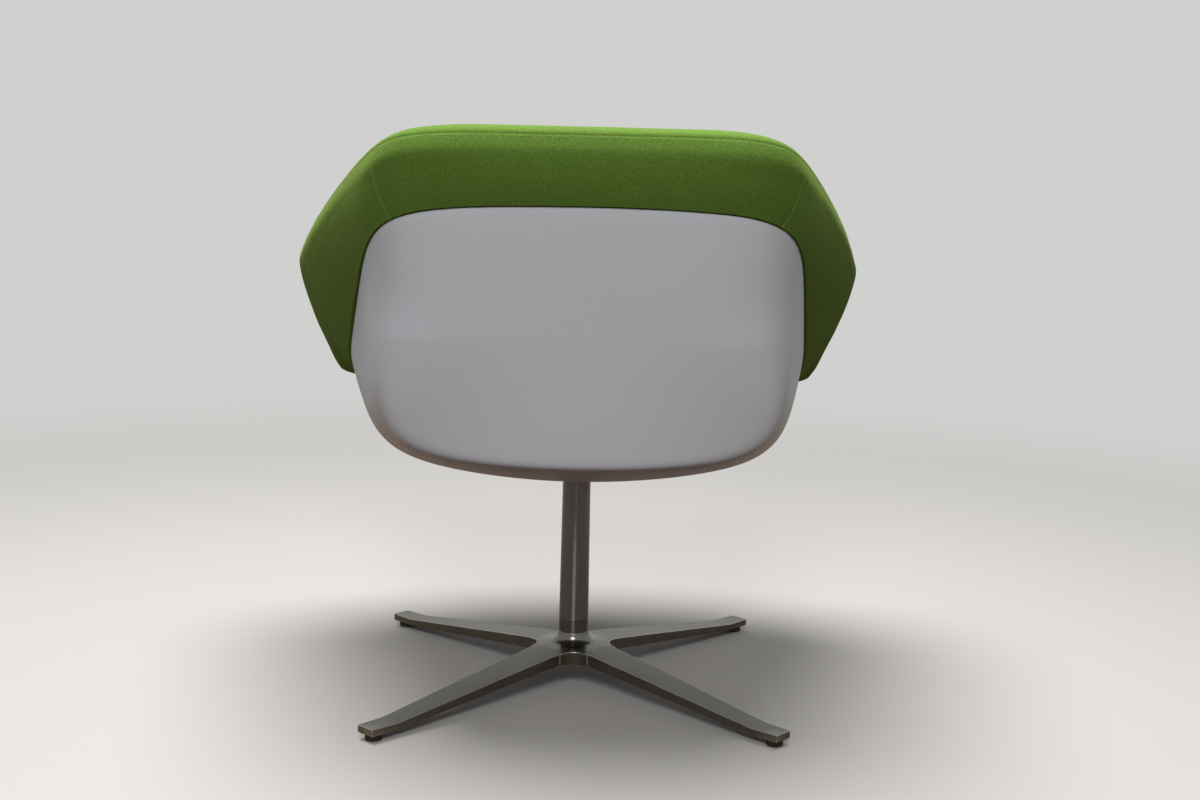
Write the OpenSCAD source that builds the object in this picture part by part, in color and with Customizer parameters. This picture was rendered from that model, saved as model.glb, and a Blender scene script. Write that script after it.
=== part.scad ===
// Swivel tub armchair: upholstered bucket in a hard outer shell on a four-arm swivel base.
// The chair faces -Y. The origin is on the floor, on the axis of the column.

/* [Star base] */
// Length of each arm, from the column's axis to the end of its tip
arm_len = 350; // [300:5:400]
// Width of an arm at the column's axis
arm_root_w = 54; // [44:1:64]
// Width of an arm at its tip
arm_tip_w = 26.7; // [24:0.1:34]
// Length of the level pad at the end of an arm
arm_pad_len = 38; // [30:1:60]
// Thickness of the level pad
arm_pad_t = 9; // [8:0.5:14]
// Height of the arms' top beside the neck, above the floor
base_hub_z = 54; // [48:1:70]
// Height of the arms' underside at the hub, above the floor
base_under_z = 35; // [28:1:38]
// Radius of the hollow between the arms and the neck
neck_fillet_r = 14; // [8:1:20]
// Radius of the inside corner between two arms, seen from above
crotch_r = 24; // [10:1:40]
// Wall left round the hollow under each arm
arm_wall = 4; // [3:0.5:6]

/* [Glides] */
// Diameter of a glide
glide_d = 20; // [16:1:24]
// Height of a glide under its arm
glide_h = 9; // [6:0.5:14]
// Diameter of the glide's stem
glide_stem_d = 8; // [6:0.5:10]
// Length of the glide's stem
glide_stem_len = 6.5; // [4:0.5:7]

/* [Column] */
// Diameter of the column at its foot
column_foot_d = 38.5; // [36:0.5:46]
// Diameter of the column at its top
column_top_d = 36; // [34.5:0.5:44]
// Height of the ring between the base's neck and the column
ring_h = 17; // [10:1:30]
// Length of the column above the ring
column_len = 190; // [150:1:280]
// Bore of the column
column_bore = 30; // [29.5:0.1:31]
// Diameter of the column's spigot in the base
spigot_d = 34; // [33:0.5:35]
// Depth of the web left under the spigot
web_t = 7; // [5:0.5:10]

/* [Swivel] */
// Diameter of the spindle
spindle_d = 22; // [18:0.5:24]
// Radial running gap between the spindle and a bush
run_gap = 0.05; // [0.03:0.01:0.1]
// Clearance of parts that are pressed or screwed together
fit = 0.02; // [0.01:0.01:0.04]
// Length of each bush
bush_len = 20; // [12:1:30]
// Thickness of the upper bush's flange
bush_flange_t = 2; // [1:0.5:3]
// Gap between the turning seat and the flange of the bush
swivel_gap = 1; // [0.5:0.1:2]
// Bore of the thrust bearing
race_bore = 15; // [12:0.5:16]
// Outer diameter of the thrust bearing
race_d = 28; // [27:0.5:29]
// Thickness of each bearing race
race_t = 3; // [2.5:0.1:4]
// Diameter of a bearing ball
ball_d = 4.5; // [4:0.1:4.6]
// Number of bearing balls
ball_count = 10; // [6:2:10]
// Thickness of the plug in the column's foot
plug_t = 12; // [8:1:16]

/* [Seat plate] */
// Side of the square seat plate
plate_w = 216; // [200:2:220]
// Thickness of the seat plate
plate_t = 6; // [4:0.5:8]
// Diameter of the hub under the seat plate
hub_d = 40; // [36:1:46]
// Distance across the chair between the bolts of the seat plate
bolt_pitch_x = 170; // [150:2:180]
// Distance along the chair between the bolts of the seat plate
bolt_pitch_y = 100; // [80:2:110]
// Distance across the chair between the screws of the outer shell
screw_pitch_x = 130; // [110:2:140]
// Distance along the chair between the screws of the outer shell
screw_pitch_y = 176; // [160:2:184]

/* [Outer shell] */
// Wall of the outer shell
shell_wall = 5; // [3:0.5:6]
// Height from the lowest point of the outer shell to the bucket's centre
dish_drop = 202; // [190:1:215]
// Distance of the shell's back from the column, at the height of the bucket's centre
shell_back = 283; // [270:1:300]
// Lean of the shell's back, as a slope
shell_back_lean = 0.235; // [0.1:0.005:0.3]
// Distance of the shell's sides from the column, at the height of the bucket's centre
shell_side = 288; // [275:1:305]
// Outward turn of the sides towards the front, as a slope
shell_flare = 0.19; // [0.1:0.01:0.24]
// Distance of the shell's front from the column, at the height of the bucket's centre
shell_front = 350; // [335:1:358]
// Slope of the plane that the shell's rim lies in
rim_slope = 0.487; // [0.4:0.01:0.52]

/* [Collar] */
// Distance of the collar's top edge from the column, at the middle of the back
collar_back = 345; // [335:1:360]
// Distance of the collar's top edge from the column, at the sides
collar_side = 337; // [325:1:350]
// Outward turn of the arms towards the front, as a slope
collar_flare = 0.295; // [0.25:0.005:0.36]
// Height of the collar's top plane above the bucket's centre, over the column
collar_rise = 131; // [120:0.5:145]
// Slope of the collar's top plane, towards the back
collar_slope = 0.317; // [0.2:0.005:0.4]
// Distance in front of the column where the arms are widest
arm_peak_y = 200; // [180:1:210]
// Slope of the arms' front edges
arm_front_slope = 2.39; // [1.8:0.01:2.8]
// How far the collar stands out over the shell's rim
collar_overhang = 3; // [1:0.5:5]
// Angle from the middle of the back to each corner seam
corner_seam = 37; // [30:1:45]

/* [Cushions] */
// Thickness of the upholstery fabric
cover_t = 2; // [1:0.5:3]
// Half of the room between the arms, at the height of the bucket's centre
room_side = 248; // [238:1:254]
// Distance of the padded back's face from the column, at the height of the bucket's centre
room_back = 199; // [185:1:210]
// Distance of the seat cushion's front from the column
seat_front = 345; // [335:1:360]
// Thickness of the seat cushion at its crown
seat_t = 84; // [70:1:95]

/* [Hidden] */
$fn = 64;

// Gap that soft pieces keep to each other
soft_gap = 0.4;
// Gap between the padding and the shell that it is glued to
glue_gap = 2;
// Overlap that a cutting shape has past a face
cut = 1;
// How much wider than its bolt or screw a clearance hole is
hole_slack = 0.5;

// Star base
arm_count = 4;
arm_turn = 360 / arm_count;
arm_pad_z = glide_h;
arm_pad_top = arm_pad_z + arm_pad_t;
hub_flat_r = 60;
glide_r = arm_len - arm_pad_len / 3;
neck_top = base_hub_z + neck_fillet_r;

// Heights of the column and the swivel, from the floor up
socket_z = base_under_z + web_t;
ring_top = neck_top + ring_h;
column_top = ring_top + column_len;
plug_top = socket_z + plug_t;
ball_z = plug_top + race_t - ball_sink() + ball_d / 2;
upper_race_z = 2 * ball_z - plug_top - race_t;
shoulder_z = upper_race_z + race_t;
function ball_sink() = ball_d / 5;

circlip_t = 1.2;
circlip_gap = 0.4;
circlip_up = 5;
circlip_w = 2;
circlip_mouth = 5;
groove_depth = 1;
spindle_lift = 0.5;
circlip_z = shoulder_z + circlip_up;
lower_bush_z = circlip_z + circlip_t + circlip_gap;
bolt_d = 12;
bolt_head_h = 7.5;
bolt_head_w = 20;
washer_d = 24;
washer_t = 2;

// Seat plate and its fasteners
hub_bottom = column_top + bush_flange_t + swivel_gap;
// The hub stands this far out of the outer shell
hub_show = 1;
dish_low = hub_bottom + hub_show;
bucket_z = dish_low + dish_drop;
floor_drop = 159;
floor_wall = 6;
floor_top = bucket_z - floor_drop;
plate_top = floor_top - floor_wall;
plate_bottom = plate_top - plate_t;
plate_corner_r = 18;
bolt8_d = 8;
bolt8_head_h = 5.3;
bolt8_head_w = 15;
washer8_d = 16;
washer8_t = 1.6;
tee_flange_d = 20;
tee_flange_t = 1.5;
tee_barrel_d = 10;
screw_d = 5;
screw_head_d = 9.5;
screw_head_h = 1.8;
screw_seat = 2;
spacer_d = 12;
// Gap over the shell's curved inner face, which rises across a spacer's foot
spacer_gap_back = 1.2;
spacer_gap_front = 0.8;

// Bucket: how its surfaces bend and how softly they meet
dish_kx = 0.00056;
dish_k_back = 0.00092;
dish_k_front = 0.0003;
back_bow_top = 0.0003;
back_bow_low = 0.0009;
side_lean = 0.05;
front_lean = 0.1;
front_bow = 0.0003;
soft_rim = 8;
soft_crease = 30;
soft_bowl = 9;
soft_front = 20;
pole_elev = -85.5;
inner_gap = 3.6;
inner_wall = 6;
liner = shell_wall + inner_gap + inner_wall;
rim_step = 6;

// Direction from the bucket's centre: t turns about the column and e climbs
function ray(t, e) = [cos(t) * cos(e), sin(t) * cos(e), sin(e)];

// Joins two surfaces, each given as one over its distance; a higher p leaves a sharper edge
function join2(a, b, p) = let (m = max(a, b)) m * pow(pow(a / m, p) + pow(b / m, p), 1 / p);

// One over the distance to a surface that bends away from the plane at h by k times x squared
function bowed(a, dx, h, k) = (a + sqrt(a * a + 4 * h * k * dx * dx)) / (2 * h);

// How far a ray has turned from level to 30 degrees down, from 0 to 1
function lowness(d) = min(1, max(0, -2 * d.z));

function side_inv(d, s) = max(0, abs(d.x) + shell_flare * d.y - side_lean * d.z) / (shell_side - s);
function front_inv(d, s) = bowed(-d.y - front_lean * d.z, d.x, shell_front - s, front_bow);
function back_inv(d, s) =
    bowed(d.y - shell_back_lean * d.z, d.x, shell_back - s,
          back_bow_top + (back_bow_low - back_bow_top) * lowness(d));
function dish_inv(d, s) =
    let (h = dish_drop - s,
         k = dish_kx * d.x * d.x + (d.y > 0 ? dish_k_back : dish_k_front) * d.y * d.y)
    (-d.z + sqrt(d.z * d.z + 4 * h * k)) / (2 * h);

function bowl_inv(d, s) =
    join2(join2(side_inv(d, s), front_inv(d, s), soft_front), dish_inv(d, s), soft_bowl);
function shell_inv(d, s) =
    join2(bowl_inv(d, s), back_inv(d, s), soft_rim + (soft_crease - soft_rim) * lowness(d));
function pan_inv(d, s, lift) =
    join2(shell_inv(d, s), max(0, -d.z) / (floor_drop + lift), soft_front);

// A point of the bucket, s inside the outer shell's outer face
function shell_at(t, e, s) = let (d = ray(t, e)) d / shell_inv(d, s) + [0, 0, bucket_z];
function pan_at(t, e, s, lift) = let (d = ray(t, e)) d / pan_inv(d, s, lift) + [0, 0, bucket_z];
function rim_elev(t) = atan(rim_slope * sin(t));

// Steps from the rim to the pole, closer together where the back turns under
function step_share(u) = u + 0.06 * sin(360 * u);
function step_elev(top, u) = top + (pole_elev - top) * step_share(u);
function dish_z(x, y) = dish_low + dish_kx * x * x + (y > 0 ? dish_k_back : dish_k_front) * y * y;

// Faces of a solid whose n sections are closed loops of two paths with h points each.
// Both paths split their squares along the same diagonal, so a wall keeps its thickness,
// and round a whole turn the right half's diagonals mirror the left half's.
function loop_faces(n, h, round) =
    [for (i = [0 : n - (round ? 1 : 2)]) for (j = [0 : 2 * h - 1])
        let (a = i * 2 * h, b = ((i + 1) % n) * 2 * h, k = (j + 1) % (2 * h),
             mirrored = round && i >= n / 4 && i < 3 * n / 4)
        each (j < h) != mirrored ? [[a + j, b + j, b + k], [a + j, b + k, a + k]]
                   : [[a + j, b + j, a + k], [b + j, b + k, a + k]]];

// Faces that close one section, whose two sides hold h points each
function cap_faces(start, h) =
    [for (j = [0 : h - 2]) let (k = 2 * h - 1 - j)
        each [[start + j, start + j + 1, start + k - 1], [start + j, start + k - 1, start + k]]];
function flipped(faces) = [for (f = faces) [f[2], f[1], f[0]]];

// Solid through sections, each a pair of paths of equal length
module strip_solid(sections, round = false) {
    n = len(sections);
    h = len(sections[0][0]);
    m = 2 * h;
    points = [for (s = sections) each concat(s[0], [for (j = [h - 1 : -1 : 0]) s[1][j]])];
    ends = round ? [] : concat(cap_faces(0, h), flipped(cap_faces((n - 1) * m, h)));
    polyhedron(points, concat(loop_faces(n, h, round), ends), convexity = 8);
}

// Solid through rings round the seat, closed by a pole at each end
module ring_solid(rings, first, last) {
    n = len(rings);
    m = len(rings[0]);
    points = concat([for (r = rings) each r], [first, last]);
    sides = [for (i = [0 : n - 2]) for (j = [0 : m - 1])
        let (a = i * m, b = (i + 1) * m, k = (j + 1) % m)
        each [[a + j, b + k, b + j], [a + j, a + k, b + k]]];
    fans = [for (j = [0 : m - 1]) let (k = (j + 1) % m, b = (n - 1) * m)
        each [[n * m, k, j], [n * m + 1, b + j, b + k]]];
    polyhedron(points, concat(sides, fans), convexity = 8);
}

// Round bar with a hole, its foot at z
module tube(d, bore, z, h) {
    translate([0, 0, z]) difference() {
        cylinder(d = d, h = h);
        translate([0, 0, -cut]) cylinder(d = bore, h = h + 2 * cut);
    }
}

// Places its child at the four corners of a rectangle
module four_corners(px, py) {
    for (x = [-px / 2, px / 2], y = [-py / 2, py / 2]) translate([x, y, 0]) children();
}

// Star base, neck ring and glides

module arm_plan(inset, from_r, to_r) {
    taper = (arm_root_w - arm_tip_w) / 2 / arm_len;
    w0 = arm_root_w / 2 - taper * from_r - inset;
    w1 = arm_root_w / 2 - taper * to_r - inset;
    polygon([[from_r, -w0], [to_r, -w1], [to_r, w1], [from_r, w0]]);
}

module crotch_plan() {
    centre = (arm_root_w / 2 + crotch_r) * sqrt(2);
    difference() {
        rotate(45) square(arm_root_w / 2 + crotch_r);
        translate([0, centre]) circle(r = crotch_r);
    }
}

module star_plan() {
    for (i = [0 : arm_count - 1]) {
        rotate(arm_turn * (i + 0.5)) arm_plan(0, 0, arm_len);
        rotate(arm_turn * i) crotch_plan();
    }
}

function base_top_z(r) = base_hub_z
    - (base_hub_z - arm_pad_top) * (r - column_foot_d / 2 - neck_fillet_r)
      / (arm_len - arm_pad_len - column_foot_d / 2 - neck_fillet_r);

module base_profile() {
    neck_r = column_foot_d / 2;
    fillet = [for (a = [180 : 10 : 270])
        [neck_r + neck_fillet_r + neck_fillet_r * cos(a), neck_top + neck_fillet_r * sin(a)]];
    rotate_extrude($fn = 128) polygon(concat(
        [[0, base_under_z], [0, neck_top]], fillet,
        [[arm_len - arm_pad_len, arm_pad_top], [arm_len + cut, arm_pad_top],
         [arm_len + cut, arm_pad_z], [arm_len - arm_pad_len, arm_pad_z], [hub_flat_r, base_under_z]]));
}

module arm_hollow_profile() {
    from_r = hub_flat_r + crotch_r / 2;
    to_r = arm_len - arm_pad_len - arm_wall;
    rotate_extrude($fn = 128)
        polygon([[from_r, 0], [from_r, base_top_z(from_r) - arm_wall],
                 [to_r, base_top_z(to_r) - arm_wall], [to_r, 0]]);
}

module star_base() {
    color("dimgray") difference() {
        intersection() {
            linear_extrude(neck_top + cut) star_plan();
            base_profile();
        }
        for (i = [0 : arm_count - 1]) rotate(arm_turn * (i + 0.5)) {
            intersection() {
                linear_extrude(neck_top) arm_plan(arm_wall, hub_flat_r, arm_len - arm_pad_len);
                arm_hollow_profile();
            }
            translate([glide_r, 0, 0])
                cylinder(d = glide_stem_d + 2 * fit, h = arm_pad_z + glide_stem_len + fit);
        }
        translate([0, 0, socket_z]) cylinder(d = spigot_d + 2 * fit, h = neck_top);
        cylinder(d = bolt_d + hole_slack, h = neck_top);
    }
}

module base_ring() {
    color("slategray") tube(column_foot_d, spigot_d + 2 * fit, neck_top, ring_h);
}

module glide(i) {
    rim = 1.5;
    color("black") rotate(arm_turn * (i - 0.5)) translate([glide_r, 0, 0]) {
        rotate_extrude() polygon([[0, 0], [glide_d / 2 - rim, 0], [glide_d / 2, rim], [glide_d / 2, glide_h],
            [glide_stem_d / 2, glide_h], [glide_stem_d / 2, glide_h + glide_stem_len],
            [0, glide_h + glide_stem_len]]);
    }
}

// Column

module column_tube() {
    color("silver") rotate_extrude($fn = 96) polygon([
        [column_bore / 2, socket_z], [spigot_d / 2, socket_z], [spigot_d / 2, ring_top],
        [column_foot_d / 2, ring_top], [column_top_d / 2, column_top], [column_bore / 2, column_top]]);
}

module column_plug() {
    color("gray") tube(column_bore - 2 * fit, bolt_d + 2 * fit, socket_z, plug_t);
}

module base_bolt() {
    head_z = base_under_z - washer_t - bolt_head_h;
    color("darkgray") {
        translate([0, 0, head_z]) cylinder(d = bolt_head_w, h = bolt_head_h, $fn = 6);
        translate([0, 0, base_under_z - washer_t])
            cylinder(d = bolt_d, h = plug_top - base_under_z + washer_t - cut);
    }
}

module base_washer() {
    color("gainsboro") tube(washer_d, bolt_d + hole_slack, base_under_z - washer_t, washer_t);
}

// Swivel bearings and spindle

module lower_bush() {
    color("ivory") tube(column_bore - 2 * fit, spindle_d + 2 * run_gap, lower_bush_z, bush_len);
}

module upper_bush() {
    color("ivory") {
        tube(column_bore - 2 * fit, spindle_d + 2 * run_gap, column_top - bush_len, bush_len);
        tube(column_top_d, spindle_d + 2 * run_gap, column_top, bush_flange_t);
    }
}

module ball_track() {
    pitch_r = (race_bore + race_d) / 4;
    translate([0, 0, ball_z]) rotate_extrude()
        translate([pitch_r, 0]) circle(d = ball_d + 2 * run_gap, $fn = 32);
}

module bearing_lower_race() {
    color("lightsteelblue") difference() {
        tube(race_d, race_bore + 2 * hole_slack, plug_top, race_t);
        ball_track();
    }
}

module bearing_upper_race() {
    color("lightsteelblue") difference() {
        tube(race_d, race_bore, upper_race_z, race_t);
        ball_track();
    }
}

module at_balls() {
    pitch_r = (race_bore + race_d) / 4;
    for (i = [0 : ball_count - 1]) rotate(i * 360 / ball_count) translate([pitch_r, 0, ball_z]) children();
}

module bearing_cage() {
    cage_t = 1.6;
    edge = 0.3;
    color("goldenrod") difference() {
        tube(race_d - 2 * edge, race_bore + 2 * edge, ball_z - cage_t / 2, cage_t);
        at_balls() cylinder(d = ball_d + 2 * run_gap, h = 2 * cage_t, center = true);
    }
}

module bearing_balls() {
    color("white") at_balls() sphere(d = ball_d, $fn = 32);
}

module spindle() {
    groove_r = spindle_d / 2 - groove_depth;
    foot_z = plug_top + spindle_lift;
    pilot_r = race_bore / 2 - fit;
    color("lightgray") rotate_extrude() polygon([
        [0, foot_z], [pilot_r, foot_z], [pilot_r, shoulder_z], [spindle_d / 2, shoulder_z],
        [spindle_d / 2, circlip_z - fit], [groove_r, circlip_z - fit],
        [groove_r, circlip_z + circlip_t + fit], [spindle_d / 2, circlip_z + circlip_t + fit],
        [spindle_d / 2, plate_top], [0, plate_top]]);
}

module circlip() {
    color("black") difference() {
        tube(spindle_d + 2 * circlip_w, spindle_d - 2 * groove_depth + 2 * fit, circlip_z, circlip_t);
        translate([0, -spindle_d, circlip_z])
            cube([circlip_mouth, 2 * spindle_d, 3 * circlip_t], center = true);
    }
}

// Seat plate and fasteners

module rounded_square(w, r) {
    square([w - 2 * r, w], center = true);
    square([w, w - 2 * r], center = true);
    four_corners(w - 2 * r, w - 2 * r) circle(r = r);
}

module seat_plate() {
    color("darkslategray") difference() {
        union() {
            translate([0, 0, plate_bottom]) linear_extrude(plate_t) rounded_square(plate_w, plate_corner_r);
            translate([0, 0, hub_bottom]) cylinder(d = hub_d, h = plate_top - hub_bottom);
        }
        translate([0, 0, hub_bottom - cut]) cylinder(d = spindle_d + 2 * fit, h = plate_top);
        four_corners(bolt_pitch_x, bolt_pitch_y)
            translate([0, 0, plate_bottom - cut]) cylinder(d = bolt8_d + hole_slack, h = plate_t + 2 * cut);
        four_corners(screw_pitch_x, screw_pitch_y)
            translate([0, 0, plate_bottom - cut]) cylinder(d = screw_d + 2 * fit, h = plate_t + 2 * cut);
    }
}

module plate_bolts() {
    seat_z = plate_bottom - washer8_t;
    color("gray") four_corners(bolt_pitch_x, bolt_pitch_y) {
        translate([0, 0, seat_z - bolt8_head_h]) cylinder(d = bolt8_head_w, h = bolt8_head_h, $fn = 6);
        translate([0, 0, seat_z]) cylinder(d = bolt8_d, h = floor_top - seat_z);
    }
}

module plate_washers() {
    color("gainsboro") four_corners(bolt_pitch_x, bolt_pitch_y)
        tube(washer8_d, bolt8_d + hole_slack, plate_bottom - washer8_t, washer8_t);
}

module tee_nuts() {
    color("darkkhaki") four_corners(bolt_pitch_x, bolt_pitch_y) {
        tube(tee_barrel_d, bolt8_d + 2 * fit, plate_top, floor_wall);
        tube(tee_flange_d, bolt8_d + 2 * fit, floor_top, tee_flange_t);
    }
}

module shell_spacers() {
    seat_z = dish_z(screw_pitch_x / 2, screw_pitch_y / 2) + shell_wall + spacer_gap_back;
    front_z = dish_z(screw_pitch_x / 2, -screw_pitch_y / 2) + shell_wall + spacer_gap_front;
    color("dimgray") for (x = [-1, 1]) {
        translate([x * screw_pitch_x / 2, screw_pitch_y / 2, 0])
            tube(spacer_d, screw_d + 2 * fit, seat_z, plate_bottom - seat_z);
        translate([x * screw_pitch_x / 2, -screw_pitch_y / 2, 0])
            tube(spacer_d, screw_d + 2 * fit, front_z, plate_bottom - front_z);
    }
}

// Height that the screw's head bears on, in the outer shell
function screw_seat_z(y) = dish_z(screw_pitch_x / 2, y) + screw_seat;

module shell_screws() {
    color("silver") for (x = [-1, 1], y = [-screw_pitch_y / 2, screw_pitch_y / 2])
        translate([x * screw_pitch_x / 2, y, screw_seat_z(y)]) {
            translate([0, 0, -screw_head_h]) cylinder(d = screw_head_d, h = screw_head_h);
            cylinder(d = screw_d, h = plate_top - screw_seat_z(y));
        }
}

// Outer and inner shells

module outer_shell() {
    turns = 60;
    steps = 16;
    sections = [for (i = [0 : turns - 1]) let (t = i * 360 / turns, top = rim_elev(t))
        [for (s = [0, shell_wall]) [for (j = [0 : steps]) shell_at(t, step_elev(top, j / steps), s)]]];
    color("gainsboro") difference() {
        strip_solid(sections, round = true);
        cylinder(d = hub_d + 2 * soft_gap, h = bucket_z);
        for (x = [-1, 1], y = [-screw_pitch_y / 2, screw_pitch_y / 2])
            translate([x * screw_pitch_x / 2, y, screw_seat_z(y)]) {
                cylinder(d = screw_d + hole_slack, h = 2 * shell_wall);
                translate([0, 0, -2 * screw_head_h])
                    cylinder(d = screw_head_d + 2 * hole_slack, h = 2 * screw_head_h);
            }
    }
}

// The inner shell's top edge lies a step below the outer shell's rim
function inner_top(t) = rim_elev(t) - rim_step / 5;

module inner_shell() {
    turns = 72;
    steps = 16;
    outside = shell_wall + inner_gap;
    sections = [for (i = [0 : turns - 1]) let (t = i * 360 / turns, top = inner_top(t))
        [for (s = [0, inner_wall])
            [for (j = [0 : steps]) pan_at(t, step_elev(top, j / steps), outside + s, floor_wall - s)]]];
    color("tan") difference() {
        strip_solid(sections, round = true);
        cylinder(d = hub_d, h = bucket_z);
        four_corners(bolt_pitch_x, bolt_pitch_y) {
            cylinder(d = tee_barrel_d + 2 * fit, h = bucket_z);
            translate([0, 0, floor_top]) cylinder(d = tee_flange_d + 2 * fit, h = floor_wall);
        }
    }
}

// Collar: back and arms, in radial sections at an angle t about the column

arm_end = 131;
front_turn = 36;
room_flare = 0.22;
room_side_lean = 0.14;
room_back_lean = 0.37;
soft_room = 6;
soft_top = 9;
soft_peak = 60;
peak_round = 22;
seat_line = bucket_z - 109;
seam_drop = 9;
inner_drop = 14;
// Least height of the collar's cut end, and least depth of the padding below the rim
end_h = 12;
// How far inside the rim the padding's foot is looked for
foot_in = 25;
// Least thickness of the padding inside the bucket, and its height over the rim
least_pad = 6;
rim_lift = 1;
// Number of the cover's sections, from its front tip, that the foam stops short of
tip_sections = 2;
top_bow = 0.00017;
peak_x = collar_side + collar_flare * arm_peak_y - top_bow * arm_peak_y * arm_peak_y;
front_reach = cos(front_turn) * peak_x + sin(front_turn) * arm_peak_y;

// Distance from the column's axis to straight sides and a straight back that meet softly
function plan_inv(t, side, flare, back, p) =
    join2(max(0.0001, abs(cos(t)) + flare * sin(t)) / side, max(0, sin(t)) / back, p);
function room_r(t, z) = 1 / plan_inv(t, room_side + room_side_lean * (z - bucket_z), room_flare,
                                     room_back + room_back_lean * (z - bucket_z), soft_room);
function top_r(t) =
    let (side = bowed(max(0.0001, abs(cos(t)) + collar_flare * sin(t)), sin(t), collar_side, top_bow),
         back = max(0, sin(t)) / collar_back,
         front = max(0, cos(front_turn) * abs(cos(t)) - sin(front_turn) * sin(t)) / front_reach)
    1 / join2(join2(side, back, soft_top), front, soft_peak);
function lower_of(a, b, r) = (a + b - sqrt((a - b) * (a - b) + r * r)) / 2;
function top_z(t) =
    let (y = top_r(t) * sin(t),
         plane = bucket_z + collar_rise + collar_slope * y,
         front = bucket_z + collar_rise - collar_slope * arm_peak_y + arm_front_slope * (y + arm_peak_y))
    lower_of(plane, front, peak_round);

function section_h(t, rim) = max(end_h, top_z(t) - rim[1]);
function flat(p) = [norm([p.x, p.y]), p.z];
function mix(a, b, u) = a + (b - a) * u;

// Elevation, seen from the bucket's centre, where the padding ends on the inner shell
function foot_elev(t, rim) =
    atan((min(seat_line, rim[1] - end_h) - bucket_z) / (rim[0] - foot_in));

// A point in section on the face that the padding is glued to
function lined(t, e) = flat(pan_at(t, e, liner + glue_gap, -glue_gap));

// The collar's face in section: up from the rim, over the top and down to the seat
function face_path(t) =
    let (rim = flat(shell_at(t, rim_elev(t), 0)),
         h = section_h(t, rim),
         low = [rim[0] + collar_overhang, rim[1] + rim_lift],
         crown_z = rim[1] + h,
         sd = min(seam_drop, 0.25 * h),
         id = min(inner_drop, 0.35 * h),
         seam = [top_r(t), crown_z - sd],
         foot = lined(t, foot_elev(t, rim)),
         edge = lined(t, inner_top(t)),
         in_z = crown_z - id,
         in_r = room_r(t, in_z),
         bulge = 0.035 * h)
    concat(
        [for (u = [0 : 0.25 : 0.75]) mix(low, seam, u) + [bulge * sin(180 * u), 0]],
        [seam, [mix(seam[0], in_r, 0.09), crown_z - 0.3 * sd], [mix(seam[0], in_r, 0.28), crown_z],
         [mix(seam[0], in_r, 0.58), crown_z - 0.1 * id], [mix(seam[0], in_r, 0.86), crown_z - 0.45 * id]],
        [for (u = [0 : 0.2 : 1]) let (z = mix(in_z, foot[1], u), share = (z - foot[1]) / (edge[1] - foot[1]))
            [min(room_r(t, z), mix(foot[0], edge[0], max(0, share)) - least_pad), z]]);

// The same path, a distance d inside the face
function inside(path, d) =
    let (n = len(path))
    [for (i = [0 : n - 1])
        let (v = path[min(n - 1, i + 1)] - path[max(0, i - 1)])
        path[i] + d / norm(v) * [-v[1], v[0]]];

// The padding's hidden side, down the inner shell
function liner_path(t, count) =
    let (rim = flat(shell_at(t, rim_elev(t), 0)),
         top = [lined(t, rim_elev(t))[0], rim[1] + rim_lift + cover_t],
         edge = lined(t, inner_top(t)),
         foot = foot_elev(t, rim),
         over = count - 8)
    concat(
        [for (i = [0 : over - 1]) mix(top, edge, i / over)],
        [for (i = [0 : 7]) lined(t, mix(inner_top(t), foot, i / 7))]);

function placed(path, t) = [for (p = path) [p[0] * cos(t), p[0] * sin(t), p[1]]];
function cover_section(t) = [placed(inside(face_path(t), cover_t), t), placed(face_path(t), t)];
function foam_section(t) =
    let (path = inside(face_path(t), cover_t + soft_gap / 2))
    [placed(liner_path(t, len(path)), t), placed(path, t)];

seam_t = 90 - corner_seam;
function back_turns(n) = [for (i = [0 : n]) mix(seam_t, 180 - seam_t, i / n)];
function arm_turns(n, first) =
    [for (i = [first : n]) mix(90 - arm_end, seam_t - 0.02, pow(i / n, 1.4))];

module back_foam() {
    color("khaki") strip_solid([for (t = back_turns(10)) foam_section(t)]);
}

module left_arm_foam() {
    color("khaki") strip_solid([for (t = arm_turns(18, tip_sections)) foam_section(t)]);
}

module right_arm_foam() {
    mirror([1, 0, 0]) left_arm_foam();
}

module back_cover() {
    color([0.26, 0.37, 0.14]) strip_solid([for (t = back_turns(10)) cover_section(t)]);
}

module left_arm_cover() {
    color([0.26, 0.37, 0.14]) strip_solid([for (t = arm_turns(18, 0)) cover_section(t)]);
}

module right_arm_cover() {
    mirror([1, 0, 0]) left_arm_cover();
}

// Seat cushion

seat_bow = 0.0006;
rim_gap = 3;
max_lift = 28;
side_gap = 3;
back_gap = 4;
soft_seat = 12;
lift_from = 0.3;
seat_z = floor_top + soft_gap + seat_t / 2;
seat_turns = 44;

// Outline of the cushion, d inside its widest ring
function seat_r(t, d) =
    let (a = bowed(-sin(t), cos(t), seat_front - d, seat_bow),
         low = seat_line - bucket_z)
    1 / join2(plan_inv(t, room_side + room_side_lean * low - side_gap - d, room_flare,
                       room_back + room_back_lean * low - back_gap - d, soft_room), a, soft_seat);

// How far the cushion's lower edge is lifted to clear the shell's rim, towards the front
function edge_lift(t) =
    let (rim_z = shell_at(t, rim_elev(t), 0).z, frontness = (-sin(t) - lift_from) / lift_from)
    min(max_lift, max(0, rim_z + rim_gap - floor_top)) * min(1, max(0, frontness));

// Ring of the cushion at an angle u from its belt line, up to 90 at the crown
function seat_ring(u, d) =
    let (share = pow(cos(u), u > 0 ? 0.35 : 0.5),
         rise = sign(u) * pow(abs(sin(u)), 0.6) * (seat_t / 2 - d),
         low = min(1, 1 - sin(u)) * min(1, max(0, (share - 0.6) / 0.25)))
    [for (i = [0 : seat_turns - 1]) let (t = i * 360 / seat_turns, r = seat_r(t, d) * share)
        [r * cos(t), r * sin(t), seat_z + rise + edge_lift(t) * low]];

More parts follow.
